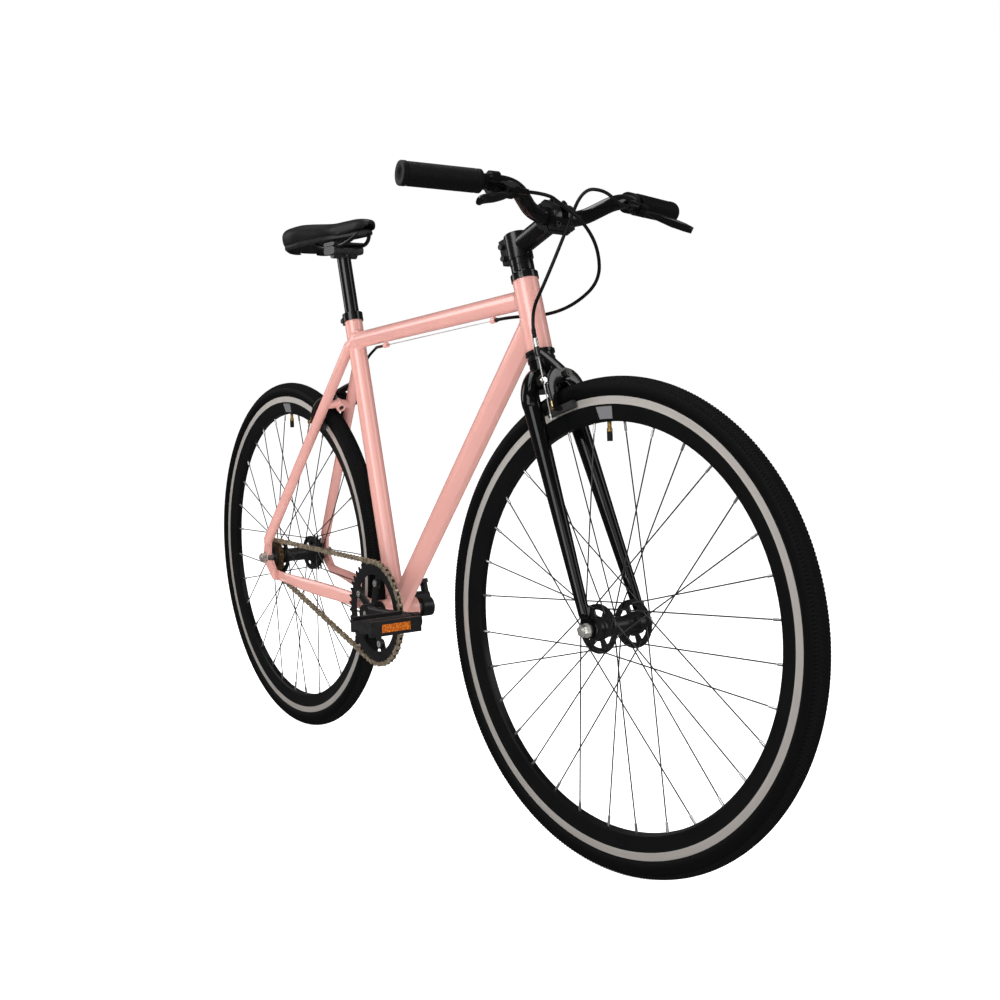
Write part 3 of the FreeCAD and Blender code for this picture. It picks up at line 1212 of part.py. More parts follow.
def blade_bend(shrink):
    """Upper bend of the left fork blade from the crown to its shoulder."""
    radius = dim.blade_top_radius - shrink
    start = Vector(0, dim.crown_half_width * 0.35, crown_middle + 3)
    middle = Vector(0, dim.crown_half_width, crown_middle - 6)
    knee = shoulder + blade_line * (crown_middle - shoulder.z) * 0.42
    path = [start, middle, knee, shoulder]
    directions = [middle - start, knee - start, blade_line * -1, blade_line * -1]
    sections = []
    for point, direction in zip(path, directions):
        sections.append(Part.Wire(Part.makeCircle(radius, point, direction)))
    return lofted(sections)


def fork_end_plate():
    """Left fork end with a slot open downwards."""
    axle = AHEAD * dim.fork_rake
    inner = LEFT * fork_end
    outer = LEFT * (fork_end + dim.dropout_thickness)
    foot = Vector(blade_foot.x, 0, blade_foot.z)
    eye = rod(axle + inner, axle + outer, dim.dropout_eye * 0.9)
    web = block(Vector(axle.x - dim.blade_foot_radius, inner.y, 0),
                Vector(axle.x + dim.blade_foot_radius, outer.y, foot.z + dim.blade_foot_radius))
    slot_width = dim.front_axle_radius + dim.sliding_clearance
    slot = block(Vector(axle.x - slot_width, inner.y - 1, -2 * dim.dropout_eye),
                 Vector(axle.x + slot_width, outer.y + 1, 0))
    return eye.fuse(web).cut([slot, rod(axle + inner - LEFT, axle + outer + LEFT, slot_width)])


steerer = rod(UP * dim.crown_bottom, UP * stem_high, dim.steerer_radius)
crown = rod(UP * dim.crown_bottom, UP * dim.crown_top, dim.crown_radius)
race = rod(UP * dim.crown_top, UP * (lower_face - dim.side_clearance), dim.cup_radius - dim.tube_thickness)
brake_line = UP * brake_height
boss = rod(brake_line - AHEAD * dim.brake_face, brake_line + AHEAD * dim.brake_face, dim.boss_radius)
blade = taper(shoulder, blade_foot, dim.blade_top_radius, dim.blade_foot_radius)
blade_hollow = taper(shoulder, blade_foot + blade_line * dim.blade_foot_up, dim.blade_top_radius - dim.blade_wall,
                     dim.blade_foot_radius - dim.blade_wall)
vent = rod(blade_foot + blade_line * (dim.blade_foot_up * 2),
           blade_foot + blade_line * (dim.blade_foot_up * 2) - LEFT * dim.blade_top_radius, dim.blade_wall)
fork_outside = [steerer, crown, race, boss]
fork_outside += both_sides(blade_bend(0)) + both_sides(blade)
fork_outside += both_sides(Part.makeSphere(dim.blade_foot_radius, blade_foot)) + both_sides(fork_end_plate())
axle_room = rod(Vector(dim.fork_rake, -fork_end, 0), Vector(dim.fork_rake, fork_end, 0), dim.dropout_eye * 2)
fork_hollow = [rod(UP * (dim.crown_top - wall), UP * (stem_high + 1), dim.steerer_radius - dim.steerer_wall),
               rod(brake_line - AHEAD * (dim.brake_face + 1), brake_line + AHEAD * (dim.brake_face + 1),
                   dim.brake_bolt_radius + dim.sliding_clearance), axle_room]
fork_hollow += both_sides(blade_hollow) + both_sides(vent)
node("fork", carved(joined(fork_outside), fork_hollow), turned_steering)

# Stem with faceplate, bolts and cap
stem_middle = UP * ((stem_low + stem_high) / 2)
rise = math.radians(dim.stem_rise)
along_stem = Vector(math.cos(rise), 0, math.sin(rise))
above_stem = Vector(-math.sin(rise), 0, math.cos(rise))
bar_middle = stem_middle + along_stem * dim.stem_length
half_clamp = LEFT * (dim.bar_clamp_width / 2)
stem_clamp = rod(UP * stem_low, UP * stem_high, dim.stem_clamp_radius)
bar_room = rod(bar_middle - half_clamp * 2, bar_middle + half_clamp * 2, dim.bar_centre_radius)
bar_clamp = rod(bar_middle - half_clamp, bar_middle + half_clamp, dim.bar_clamp_radius)
ear_half = dim.stem_bolt_offset + dim.stem_bolt_head


def clamp_ears(low, high):
    """Flat ears above and below the bar between two places along the stem."""
    near, far = bar_middle + along_stem * low, bar_middle + along_stem * high
    upward = above_stem * ear_half
    corners = [near - upward, far - upward, far + upward, near + upward]
    outline = Part.Face(Part.makePolygon(corners + [corners[0]]))
    return outline.extrude(half_clamp * 2).translated(half_clamp * -1)


def half_space(front):
    """The room ahead of or behind the split between stem and faceplate."""
    reach = dim.bar_clamp_radius * 4
    low = dim.stem_split / 2 if front else -reach
    high = reach if front else -dim.stem_split / 2
    near, far = bar_middle + along_stem * low, bar_middle + along_stem * high
    upward = above_stem * reach
    corners = [near - upward, far - upward, far + upward, near + upward]
    outline = Part.Face(Part.makePolygon(corners + [corners[0]]))
    return outline.extrude(half_clamp * 6).translated(half_clamp * -3)


bolt_places = []
for up_or_down in (1, -1):
    for side in (LEFT_SIDE, RIGHT_SIDE):
        bolt_places.append(bar_middle + above_stem * (up_or_down * dim.stem_bolt_offset)
                           + LEFT * (side * dim.stem_bolt_spread))
face_depth = 9
bolt_holes = []
stem_bolts = []
for place in bolt_places:
    bolt_holes.append(rod(place - along_stem * 2 * face_depth, place + along_stem * 2 * face_depth,
                          dim.stem_bolt_radius + dim.sliding_clearance))
    shank = rod(place - along_stem * face_depth, place + along_stem * face_depth, dim.stem_bolt_radius)
    head = rod(place + along_stem * face_depth, place + along_stem * (face_depth + dim.stem_bolt_head),
               dim.stem_bolt_head)
    socket = hexagon(place + along_stem * (face_depth + dim.stem_bolt_head / 2),
                     place + along_stem * (face_depth + dim.stem_bolt_head * 2), dim.stem_bolt_radius)
    stem_bolts.append(shank.fuse(head).cut(socket))
pinch_back = dim.stem_clamp_radius + dim.stem_bolt_head
pinch_ear = block(Vector(-pinch_back - dim.stem_bolt_head, -dim.stem_clamp_radius * 0.62, stem_low),
                  Vector(0, dim.stem_clamp_radius * 0.62, stem_high))
half_split = dim.stem_split / 2
slit = block(Vector(-pinch_back * 2, -half_split, stem_low - 1), Vector(0, half_split, stem_high + 1))
pinch_holes = []
for up in (0.26, 0.74):
    place = Vector(-pinch_back, 0, stem_low + dim.stem_height * up)
    half_ear = LEFT * (dim.stem_clamp_radius * 0.62)
    pinch_holes.append(rod(place - half_ear * 3, place + half_ear * 3,
                           dim.stem_bolt_radius + dim.sliding_clearance))
    shank = rod(place - half_ear, place + half_ear, dim.stem_bolt_radius)
    head = rod(place - half_ear, place - half_ear * 1.3, dim.stem_bolt_head)
    stem_bolts.append(shank.fuse(head))
neck = rod(stem_middle + along_stem * dim.stem_clamp_radius * 0.5,
           bar_middle - along_stem * dim.bar_clamp_radius * 0.7,
           dim.stem_neck_radius)
stem_back = bar_clamp.fuse(clamp_ears(-face_depth, 0)).common(half_space(False))
stem_shape = joined([stem_clamp, neck, pinch_ear, stem_back])
steerer_room = rod(UP * (stem_low - 1), UP * (stem_high + 1), dim.steerer_radius)
node("stem", carved(stem_shape, [bar_room, steerer_room, slit] + bolt_holes + pinch_holes), turned_steering)
faceplate = bar_clamp.fuse(clamp_ears(0, face_depth)).common(half_space(True)).cut([bar_room] + bolt_holes)
window = block(bar_middle - half_clamp * 0.3 - UP * dim.bar_centre_radius * 0.7,
               bar_middle + half_clamp * 0.3 + UP * dim.bar_centre_radius * 0.7 + AHEAD * dim.bar_clamp_radius * 2)
head_rooms = []
for place in bolt_places:
    head_rooms.append(rod(place + along_stem * face_depth, place + along_stem * face_depth * 3,
                          dim.stem_bolt_head + dim.sliding_clearance))
node("stem_faceplate", carved(faceplate, [window] + head_rooms), turned_steering)
node("stem_bolts", Part.Compound(stem_bolts), turned_steering)
stem_top = stack_high + " + stem_height"
cap = turned_body("stem_cap", "XZ_Plane", [[
    ("0", stem_top), ("stem_clamp_radius - tube_thickness", stem_top),
    ("stem_clamp_radius - tube_thickness", stem_top + " + tube_thickness"),
    ("stem_bolt_head * 2", stem_top + " + tube_thickness * 2"), ("0", stem_top + " + tube_thickness * 2")]])
keep(cap, turned_steering)

# Handlebar and grips, set out in the steering frame
bar_flat = bar_middle + LEFT * dim.bar_flat_half
bar_knee = bar_middle + Vector(dim.bar_knee_forward, dim.bar_knee_side, dim.bar_knee_up)
bar_end = bar_middle + Vector(-dim.bar_end_back, dim.bar_end_side, dim.bar_end_up)


def mirror_point(point):
    """The same point on the other side of the bicycle."""
    return Vector(point.x, -point.y, point.z)


bar_path = route([mirror_point(bar_end), mirror_point(bar_knee), mirror_point(bar_flat),
                  bar_flat, bar_knee, bar_end], 0.34)
sleeve = rod(bar_middle - half_clamp * 1.2, bar_middle + half_clamp * 1.2, dim.bar_centre_radius)
sleeve_ends = both_sides(taper(bar_middle + half_clamp * 1.2, bar_middle + half_clamp * 1.6,
                               dim.bar_centre_radius, dim.bar_radius))
bar_shape = swept(bar_path, dim.bar_radius).multiFuse([sleeve] + sleeve_ends)
node("handlebar", bar_shape.cut(swept(bar_path, dim.bar_radius - dim.bar_wall)), turned_steering)

along_grip = (bar_end - bar_knee).normalize()
grip_half = [("bar_radius", "0"), ("grip_ring", "0"), ("grip_ring", "grip_end"), ("grip_radius", "grip_end * 1.5"),
             ("grip_radius", "grip_length - grip_end * 1.5"), ("grip_ring", "grip_length - grip_end"),
             ("grip_ring", "grip_length + grip_end * 0.6"), ("grip_radius - grip_end", "grip_length + grip_end"),
             ("0", "grip_length + grip_end"), ("0", "grip_length"), ("bar_radius", "grip_length")]
grip_start = bar_end - along_grip * dim.grip_length
left_grip = turned_body("left_grip", "XZ_Plane", [grip_half])
keep(left_grip, turned_steering.multiply(Placement(grip_start, Rotation(UP, along_grip))))
right_grip = turned_body("right_grip", "XZ_Plane", [grip_half])
right_along = mirror_point(along_grip)
keep(right_grip, turned_steering.multiply(Placement(mirror_point(grip_start), Rotation(UP, right_along))))

# Brake levers: out along the grip, reaching ahead and down, built on the left and mirrored
lever_centre = grip_start - along_grip * dim.lever_place
drop = math.radians(dim.lever_drop)
level_reach = Vector(math.cos(drop), 0, -math.sin(drop))
reach_way = (level_reach - along_grip * level_reach.dot(along_grip)).normalize()
lever_frame = Placement(lever_centre, Rotation(along_grip, reach_way, along_grip.cross(reach_way), "XZY"))
pivot = Vector(-dim.lever_pivot_inset, dim.lever_pivot_reach, 0)
half_lever = dim.lever_thickness / 2
ear_thick = dim.lever_thickness * 0.7
ear_inner = half_lever + dim.side_clearance
clamp_half_width = AHEAD * (dim.lever_clamp_width / 2)
bracket_ring = rod(clamp_half_width * -1, clamp_half_width, dim.lever_clamp_radius)
bracket_pieces = [bracket_ring]
eye_radius = dim.lever_pivot_radius * 2.8
block_outer = pivot.x - eye_radius - 3 * dim.side_clearance
block_inner = block_outer - dim.barrel_radius * 1.5
for side in (1, -1):
    low = UP * (side * ear_inner)
    high = UP * (side * (ear_inner + ear_thick))
    bracket_pieces.append(rod(pivot + low, pivot + high, eye_radius))
    bracket_pieces.append(block(Vector(block_inner, dim.lever_clamp_radius * 0.85, low.z),
                                Vector(pivot.x + eye_radius, pivot.y, high.z)))
web_top = dim.lever_pivot_reach - eye_radius - 3 * dim.side_clearance
bracket_pieces.append(block(Vector(block_inner, dim.lever_clamp_radius * 0.85, -ear_inner - ear_thick),
                            Vector(dim.lever_clamp_width / 2, web_top, ear_inner + ear_thick)))
housing_reach = dim.lever_pivot_reach - dim.barrel_radius * 1.5
bracket_pieces.append(block(Vector(block_inner, dim.lever_clamp_radius * 0.85, -ear_inner - ear_thick),
                            Vector(block_outer, dim.lever_pivot_reach, ear_inner + ear_thick)))
barrel_start = Vector(block_inner, housing_reach, 0)
barrel_end = barrel_start - AHEAD * dim.barrel_length
bracket_pieces.append(rod(barrel_start, barrel_end, dim.barrel_radius))
bracket_pieces.append(rod(pivot - UP * (ear_inner + ear_thick), pivot + UP * (ear_inner + ear_thick),
                          dim.lever_pivot_radius))
bracket_shape = joined(bracket_pieces)
bar_hole = rod(clamp_half_width * -4, clamp_half_width * 4, dim.bar_radius)
wire_hole = rod(barrel_end - AHEAD, barrel_start + AHEAD * dim.lever_clamp_width, dim.housing_bore)
bracket_shape = bracket_shape.cut([bar_hole, wire_hole])
spread = math.radians(dim.lever_spread)
lever_way = Vector(math.cos(spread), math.sin(spread), 0)
lever_side = Vector(-math.sin(spread), math.cos(spread), 0)
lever_points = []
for share, bow_out in ((0, 0), (0.13, 3), (0.3, 5), (0.6, 3), (0.85, 0), (1, 3)):
    lever_points.append(pivot + lever_way * (dim.lever_length * share) + lever_side * bow_out)
blade_thick = half_lever * 0.93
blade_face = dim.lever_blade_height / 2
blade_deep = dim.lever_thickness * 0.65
blade_halves = [(eye_radius * 0.9, blade_thick), (eye_radius * 0.9, blade_thick),
                (blade_deep * 1.2, blade_face * 0.75), (blade_deep, blade_face),
                (blade_deep, blade_face * 0.95), (blade_deep, blade_face * 0.75)]
lever_blade = limb(lever_points, blade_halves, UP, 2.6)
lever_eye = rod(pivot - UP * half_lever, pivot + UP * half_lever, eye_radius)
lever_hole = rod(pivot - UP * half_lever * 2, pivot + UP * half_lever * 2,
                 dim.lever_pivot_radius + dim.running_clearance)
lever_shape = lever_blade.fuse(lever_eye).cut(lever_hole)


def on_bar(shape):
    """A left lever piece carried from the lever frame into the steering frame."""
    moved = Part.Compound(shape.Solids)
    moved.Placement = lever_frame
    return Part.Compound([moved])


for label, shape in (("lever_bracket", bracket_shape), ("brake_lever", lever_shape)):
    left_piece = on_bar(shape)
    right_piece = left_piece.mirror(Vector(), LEFT)
    node("left_" + label, left_piece, turned_steering)
    node("right_" + label, right_piece, turned_steering)

# Brake calipers: X out from the mounting face, Z up, cable on the right of the front one
arm_back = dim.brake_spacer
arm_middle_back = arm_back + dim.brake_arm_thickness / 2
arm_front = arm_back + dim.brake_arm_thickness + dim.brake_arm_gap
arm_middle_front = arm_front + dim.brake_arm_thickness / 2
arm_end = arm_front + dim.brake_arm_thickness
wire_line = arm_front + dim.wire_radius / 2
half_arm = dim.brake_arm_width / 2
limb_thick = dim.brake_arm_thickness * 0.46
pad_radius = dim.rim_outer_radius - dim.rim_track_height / 2 + 0.5


def bow(side, layer, pad_drop):
    """The curved lower limb of a brake arm, from the bolt out and down to its pad."""
    wide = dim.brake_arm_side
    points = [Vector(layer, 0, 0), Vector(layer, side * wide * 0.55, 0),
              Vector(layer, side * wide * 0.93, -0.25 * pad_drop),
              Vector(layer, side * wide * 1.02, -0.62 * pad_drop), Vector(layer, side * wide, -pad_drop)]
    halves = [(half_arm * share, limb_thick) for share in (1.25, 1.45, 1.25, 1, 0.9)]
    return limb(points, halves, AHEAD, 3)


def brake_pad(side, pad_drop, tilt, layer):
    """Pad, holder and bolt at the foot of a brake arm."""
    face = dim.rim_width / 2 + dim.pad_gap
    centre = Vector(dim.pad_forward, 0, -pad_drop)
    pad = limb([centre - AHEAD * dim.pad_length / 2 + LEFT * (side * (face + dim.pad_thickness / 2)),
                centre + LEFT * (side * (face + dim.pad_thickness / 2)),
                centre + AHEAD * dim.pad_length / 2 + LEFT * (side * (face + dim.pad_thickness / 2))],
               [(dim.pad_height / 2, dim.pad_thickness / 2)] * 3, LEFT, 5)
    pad.rotate(centre, LEFT, tilt)
    post = rod(Vector(layer, side * (face + dim.pad_thickness / 2), -pad_drop),
               Vector(layer, side * (dim.brake_arm_side + half_arm + 2), -pad_drop), dim.brake_bolt_radius)
    return [pad, post]


def make_caliper(name, right_is, left_is, place, pad_offset):
    """Side-pull caliper; pad_offset is how far its pads stand off the radius to the axle."""
    pad_height = math.sqrt(pad_radius ** 2 - pad_offset ** 2)
    pad_drop = brake_height - pad_height
    tilt = math.degrees(math.asin(pad_offset / pad_radius))
    bolt_hole = rod(AHEAD * -1, AHEAD * (arm_end + 1), dim.brake_bolt_radius + dim.running_clearance)
    thick = dim.brake_arm_thickness / 2
    side = dim.anchor_side
    anchor = Vector(arm_middle_back, -side - half_arm, -dim.anchor_drop)
    tail_bend = Vector(arm_middle_back, -side * 0.5, -dim.anchor_drop * 0.4)
    tail = limb([Vector(arm_middle_back, 0, 0), tail_bend, anchor],
                [(half_arm * share, limb_thick) for share in (1.2, 0.95, 0.85)], AHEAD, 3)
    eye = rod(AHEAD * arm_back, AHEAD * (arm_back + 2 * thick), dim.brake_eye_radius)
    anchor_face = Vector(arm_back + 2 * thick, -side - dim.wire_radius * 3.2, -dim.anchor_drop)
    screw_way = AHEAD * (2 * dim.wire_radius + dim.brake_arm_gap)
    screw = rod(anchor_face - AHEAD * thick * 2.6, anchor_face + screw_way, dim.brake_bolt_radius * 0.55)
    washer = rod(anchor_face + screw_way, anchor_face + screw_way + AHEAD * dim.washer_thickness,
                 dim.brake_bolt_radius * 1.5)
    screw_head = hexagon(anchor_face + screw_way + AHEAD * dim.washer_thickness,
                         anchor_face + screw_way + AHEAD * dim.washer_thickness * 3, dim.brake_bolt_radius * 1.3)
    back_pieces = [eye, tail, bow(1, arm_middle_back, pad_drop), screw, washer, screw_head] \
        + brake_pad(1, pad_drop, tilt, arm_middle_back)
    back_arm = joined(back_pieces).cut(bolt_hole)
    horn_end = Vector(arm_middle_front, -side, dim.adjuster_up)
    horn_bend = Vector(arm_middle_front, -side * 0.5, dim.adjuster_up * 0.58)
    horn = limb([Vector(arm_middle_front, 0, 0), horn_bend, horn_end],
                [(half_arm * share, limb_thick) for share in (1.25, 1, 0.8)], AHEAD, 3)
    front_eye = rod(AHEAD * arm_front, AHEAD * arm_end, dim.brake_eye_radius)
    barrel = rod(Vector(wire_line, -side, dim.adjuster_up - 6), Vector(wire_line, -side, dim.adjuster_top),
                 dim.barrel_radius)
    wire_way = rod(Vector(wire_line, -side, -dim.anchor_drop - dim.wire_tail),
                   Vector(wire_line, -side, dim.adjuster_top + 1), dim.housing_bore)
    front_pieces = [front_eye, horn, bow(-1, arm_middle_front, pad_drop), barrel] \
        + brake_pad(-1, pad_drop, tilt, arm_middle_front)
    front_arm = carved(joined(front_pieces), [bolt_hole, wire_way])
    node(name + "_brake_" + left_is + "_arm", back_arm, place)
    node(name + "_brake_" + right_is + "_arm", front_arm, place)


def make_brake_bolt(name, back, place):
    """Brake bolt with spacer behind the arms and nut ahead of them."""
    nut = arm_end + dim.side_clearance
    pieces = [rod(AHEAD * -back, AHEAD * (nut + 6), dim.brake_bolt_radius),
              rod(Vector(), AHEAD * (arm_back - dim.side_clearance), dim.brake_spacer_radius),
              hexagon(AHEAD * nut, AHEAD * (nut + 5), dim.brake_bolt_radius * 2.1),
              rod(AHEAD * -back, AHEAD * (4 - back), dim.brake_bolt_radius * 1.5)]
    node(name, joined(pieces), place)


front_brake_place = turned_steering.multiply(Placement(Vector(dim.brake_face, 0, brake_height), Rotation()))
make_caliper("front", "right", "left", front_brake_place, dim.brake_face + dim.pad_forward - dim.fork_rake)
make_caliper("rear", "left", "right", rear_brake_place, rear_brake_face + dim.pad_forward)
make_brake_bolt("front_brake_bolt", 2 * dim.brake_face + 4, front_brake_place)
make_brake_bolt("rear_brake_bolt", (boss_rear - boss_front).Length, rear_brake_place)

# Cables
adjuster = Vector(wire_line, -dim.anchor_side, dim.adjuster_top)
wire_foot = Vector(wire_line, -dim.anchor_side, -dim.anchor_drop - dim.wire_tail)
front_adjuster = Vector(dim.brake_face, 0, brake_height) + adjuster
left_barrel = lever_frame.multVec(barrel_end)
right_barrel = mirror_point(left_barrel)


def housing(path):
    """Cable housing with its bore and the wire inside it."""
    casing = swept(path, dim.housing_radius).cut(swept(path, dim.housing_bore))
    return [casing, swept(path, dim.wire_radius)]


inboard = along_grip * -1
front_route = [left_barrel, left_barrel + inboard * 30, bar_middle + Vector(50, 58, 26),
               bar_middle + Vector(48, 14, 24), bar_middle + Vector(30, -14, -30),
               bar_middle + Vector(-8, -38, -95), front_adjuster + UP * 36, front_adjuster]
front_wire = rod(front_adjuster, Vector(dim.brake_face, 0, brake_height) + wire_foot, dim.wire_radius)
node("front_brake_cable", Part.Compound(housing(route(front_route)) + [front_wire]), turned_steering)

right_inboard = mirror_point(inboard)
steered_route = [right_barrel, right_barrel + right_inboard * 30, bar_middle + Vector(50, -40, -4),
                 bar_middle + Vector(44, 6, -24), bar_middle + Vector(36, 34, -58),
                 bar_middle + Vector(14, 47, -98)]
along_stop = along_top_tube * -1
frame_route = [straight_steering.multVec(Vector(40, 48, head_top - 52)),
               straight_steering.multVec(Vector(-12, 34, head_top - 49)),
               front_stop + along_stop * 42, front_stop]
rear_route = [turned_steering.multVec(point) for point in steered_route] + frame_route
node("rear_brake_housing", Part.Compound(housing(route(rear_route))))

rear_adjuster = rear_brake_place.multVec(adjuster)
up_stay = along_stay
tail_route = [rear_stop, rear_stop - along_stop * 34, rear_adjuster + up_stay * 62 + Vector(34, -5, -4),
              rear_adjuster + up_stay * 32, rear_adjuster]
rear_wire = rod(front_stop, rear_stop, dim.wire_radius)
rear_tail = rod(rear_adjuster, rear_brake_place.multVec(wire_foot), dim.wire_radius)
node("rear_brake_cable", Part.Compound([rear_wire, rear_tail] + housing(route(tail_route))))

# Seat collar, post, clamp, rails and saddle, set out along the seat tube
collar_low = dim.seat_tube_length - dim.collar_height + wall
collar_ring = rod(UP * collar_low, UP * (collar_low + dim.collar_height), dim.collar_radius)
collar_ear = block(Vector(-dim.collar_radius - 8, -8, collar_low), Vector(0, 8, collar_low + dim.collar_height))
collar_bolt_place = Vector(-dim.collar_radius - 3.5, 0, collar_low + dim.collar_height / 2)
collar_bolt = rod(collar_bolt_place - LEFT * 12, collar_bolt_place + LEFT * 8, dim.stem_bolt_radius)
collar_head = rod(collar_bolt_place - LEFT * 12, collar_bolt_place - LEFT * 8, dim.stem_bolt_head)
collar_slit = block(Vector(-dim.collar_radius * 2, -1, collar_low - 1),
                    Vector(0, 1, collar_low + dim.collar_height + 1))
collar_hole = rod(UP * (collar_low - 1), UP * dim.seat_tube_length, dim.seat_tube_radius)
post_hole = rod(UP * collar_low, UP * (collar_low + 2 * dim.collar_height),
                dim.post_radius + dim.sliding_clearance)
collar_shape = collar_ring.fuse(collar_ear).cut([collar_slit, collar_hole, post_hole])
node("seat_collar", collar_shape.multiFuse([collar_bolt, collar_head]), seat_place)

post = turned_body("seatpost", "XZ_Plane", [[
    ("post_radius - post_wall", "post_bottom"), ("post_radius", "post_bottom"), ("post_radius", "post_top"),
    ("post_radius - post_wall", "post_top")]])
keep(post, seat_place)

clamp_centre = on_seat_tube(dim.post_top) + UP * dim.clamp_up
clamp_place = Placement(clamp_centre, Rotation())
seat_axis = on_seat_tube(1) - on_seat_tube(0)
post_end = on_seat_tube(dim.post_top) - clamp_centre
neck_top = post_end + seat_axis * (dim.clamp_up * 1.2)
rail_line = UP * (dim.clamp_radius * 0.35)
rail_back = Vector(-dim.rail_flat_back, dim.rail_spread, 0) + rail_line
rail_rear = Vector(-dim.rail_rear_back, dim.rail_rear_side, dim.rail_rear_rise) + rail_line
rail_front = Vector(dim.rail_flat_ahead, dim.rail_spread, 0) + rail_line
rail_nose = Vector(dim.rail_nose_ahead, dim.rail_nose_side, dim.rail_nose_rise) + rail_line
rail_path = route([rail_rear, rail_back, rail_front, rail_nose])
rails = both_sides(swept(rail_path, dim.rail_radius))


def clamp_slab(height, thick):
    """A rounded slab of the saddle clamp across both rails, its middle at a height."""
    middle = rail_line + UP * height
    return limb([middle - LEFT * dim.clamp_half, middle, middle + LEFT * dim.clamp_half],
                [(dim.clamp_length / 2, thick / 2)] * 3, UP, 4)


slab_step = dim.clamp_plate / 2 + dim.side_clearance
clamp_pieces = [clamp_slab(-dim.clamp_plate - dim.side_clearance, dim.clamp_plate * 2),
                clamp_slab(slab_step, dim.clamp_plate)]
drum_middle = rail_line - UP * (dim.clamp_plate * 1.8)
half_drum = LEFT * (dim.clamp_half * 0.8)
clamp_pieces.append(rod(drum_middle - half_drum, drum_middle + half_drum, dim.clamp_radius * 0.62))
clamp_pieces.append(taper(post_end, neck_top, dim.post_radius, dim.clamp_radius * 0.8))
for ahead in (-1, 1):
    bolt_foot = rail_line + AHEAD * (ahead * dim.clamp_length * 0.3) - UP * (dim.clamp_plate * 2.6)
    bolt_top = bolt_foot + UP * (dim.clamp_plate * 4.2)
    clamp_pieces.append(rod(bolt_foot, bolt_top, dim.stem_bolt_radius))
    clamp_pieces.append(rod(bolt_top - UP * dim.clamp_plate * 0.7, bolt_top, dim.stem_bolt_head))
clamp_shape = carved(joined(clamp_pieces), rails)
node("saddle_clamp", clamp_shape, clamp_place)
node("saddle_rails", Part.Compound(rails), clamp_place)


def ease(share):
    """Smooth step from 0 to 1 as the share passes from 0 to 1."""
    held = min(max(share, 0), 1)
    return held * held * (3 - 2 * held)


def saddle_station(part):
    """Breadth, dip of the top and depth of the saddle, as shares, from its rear at 0 to its nose at 1."""
    waisted = ease((part - 0.18) / 0.38)
    rear_end = max(0, 1 - part / 0.12) ** 2.5
    nose_end = max(0, (part - 0.86) / 0.14) ** 2.5
    nose_share = 0.48 - 0.2 * part
    broad = (1 + (nose_share - 1) * waisted) * (1 - 0.55 * rear_end - 0.55 * nose_end)
    dip = -0.15 * ease((part - 0.15) / 0.45) - 0.25 * rear_end - 0.13 * nose_end
    deep = (1 - 0.5 * waisted) * (1 - 0.65 * rear_end - 0.6 * nose_end)
    return broad, dip, deep


def saddle_form(inset, lowered):
    """Saddle solid: crowned top with drawn-in sides; inset and lowered make the inner forms."""
    sections = []
    half = dim.saddle_width / 2
    for part in (0, 0.03, 0.08, 0.16, 0.26, 0.36, 0.46, 0.58, 0.7, 0.82, 0.92, 0.97, 1):
        broad, dip, deep = saddle_station(part)
        x = dim.saddle_nose - dim.saddle_length * (1 - part) + inset * (1 - 2 * part)
        top = dim.saddle_top + dip * dim.saddle_skirt - lowered
        depth = dim.saddle_skirt * deep
        wide = max(half * broad - inset, half * 0.05)
        centre = Vector(x, 0, top - depth / 2)
        outline = []
        count = 24
        for index in range(count):
            angle = 2 * math.pi * index / count
            across = math.copysign(abs(math.cos(angle)) ** 0.64, math.cos(angle))
            rise = math.copysign(abs(math.sin(angle)) ** 0.78, math.sin(angle))
            drawn_in = 1 - 0.08 * max(0, -rise)
            outline.append(centre + Vector(0, wide * across * drawn_in, depth / 2 * rise))
        curve = Part.BSplineCurve()
        curve.interpolate(outline, PeriodicFlag=True)
        sections.append(Part.Wire(curve.toShape()))
    return lofted(sections)


saddle_outer = saddle_form(0, 0)
saddle_inner = saddle_form(dim.saddle_padding * 0.4, dim.saddle_padding)
base_inner = saddle_form(dim.saddle_padding * 0.4 + dim.saddle_base, dim.saddle_padding + dim.saddle_base)
rail_sockets = both_sides(swept(rail_path, dim.rail_radius + dim.sliding_clearance))
node("saddle", carved(saddle_outer, [saddle_inner] + rail_sockets), clamp_place)
node("saddle_base", carved(saddle_inner.common(saddle_outer).cut(base_inner), rail_sockets), clamp_place)

# Check everything and write the pieces
doc.recompute()
for item in doc.Objects:
    if "Invalid" in item.State or "Error" in item.State:
        raise ValueError(item.Name + " did not build")
os.makedirs("parts", exist_ok=True)
faulty = []
for item in nodes:
    item.Label = item.Name
    shape = item.Shape
    if shape.isNull() or not shape.isValid() or not shape.Solids:
        faulty.append(item.Label)
    shape.exportStep("parts/" + item.Label + ".step")
    print(item.Label, len(shape.Solids), round(shape.Volume / 1000, 2))
if faulty:
    raise ValueError("no valid shape for " + ", ".join(faulty))
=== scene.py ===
"""Dresses a packed fixed gear bicycle: paint, metal, tread, welds, grips, cables and a padded saddle."""

import json
import math

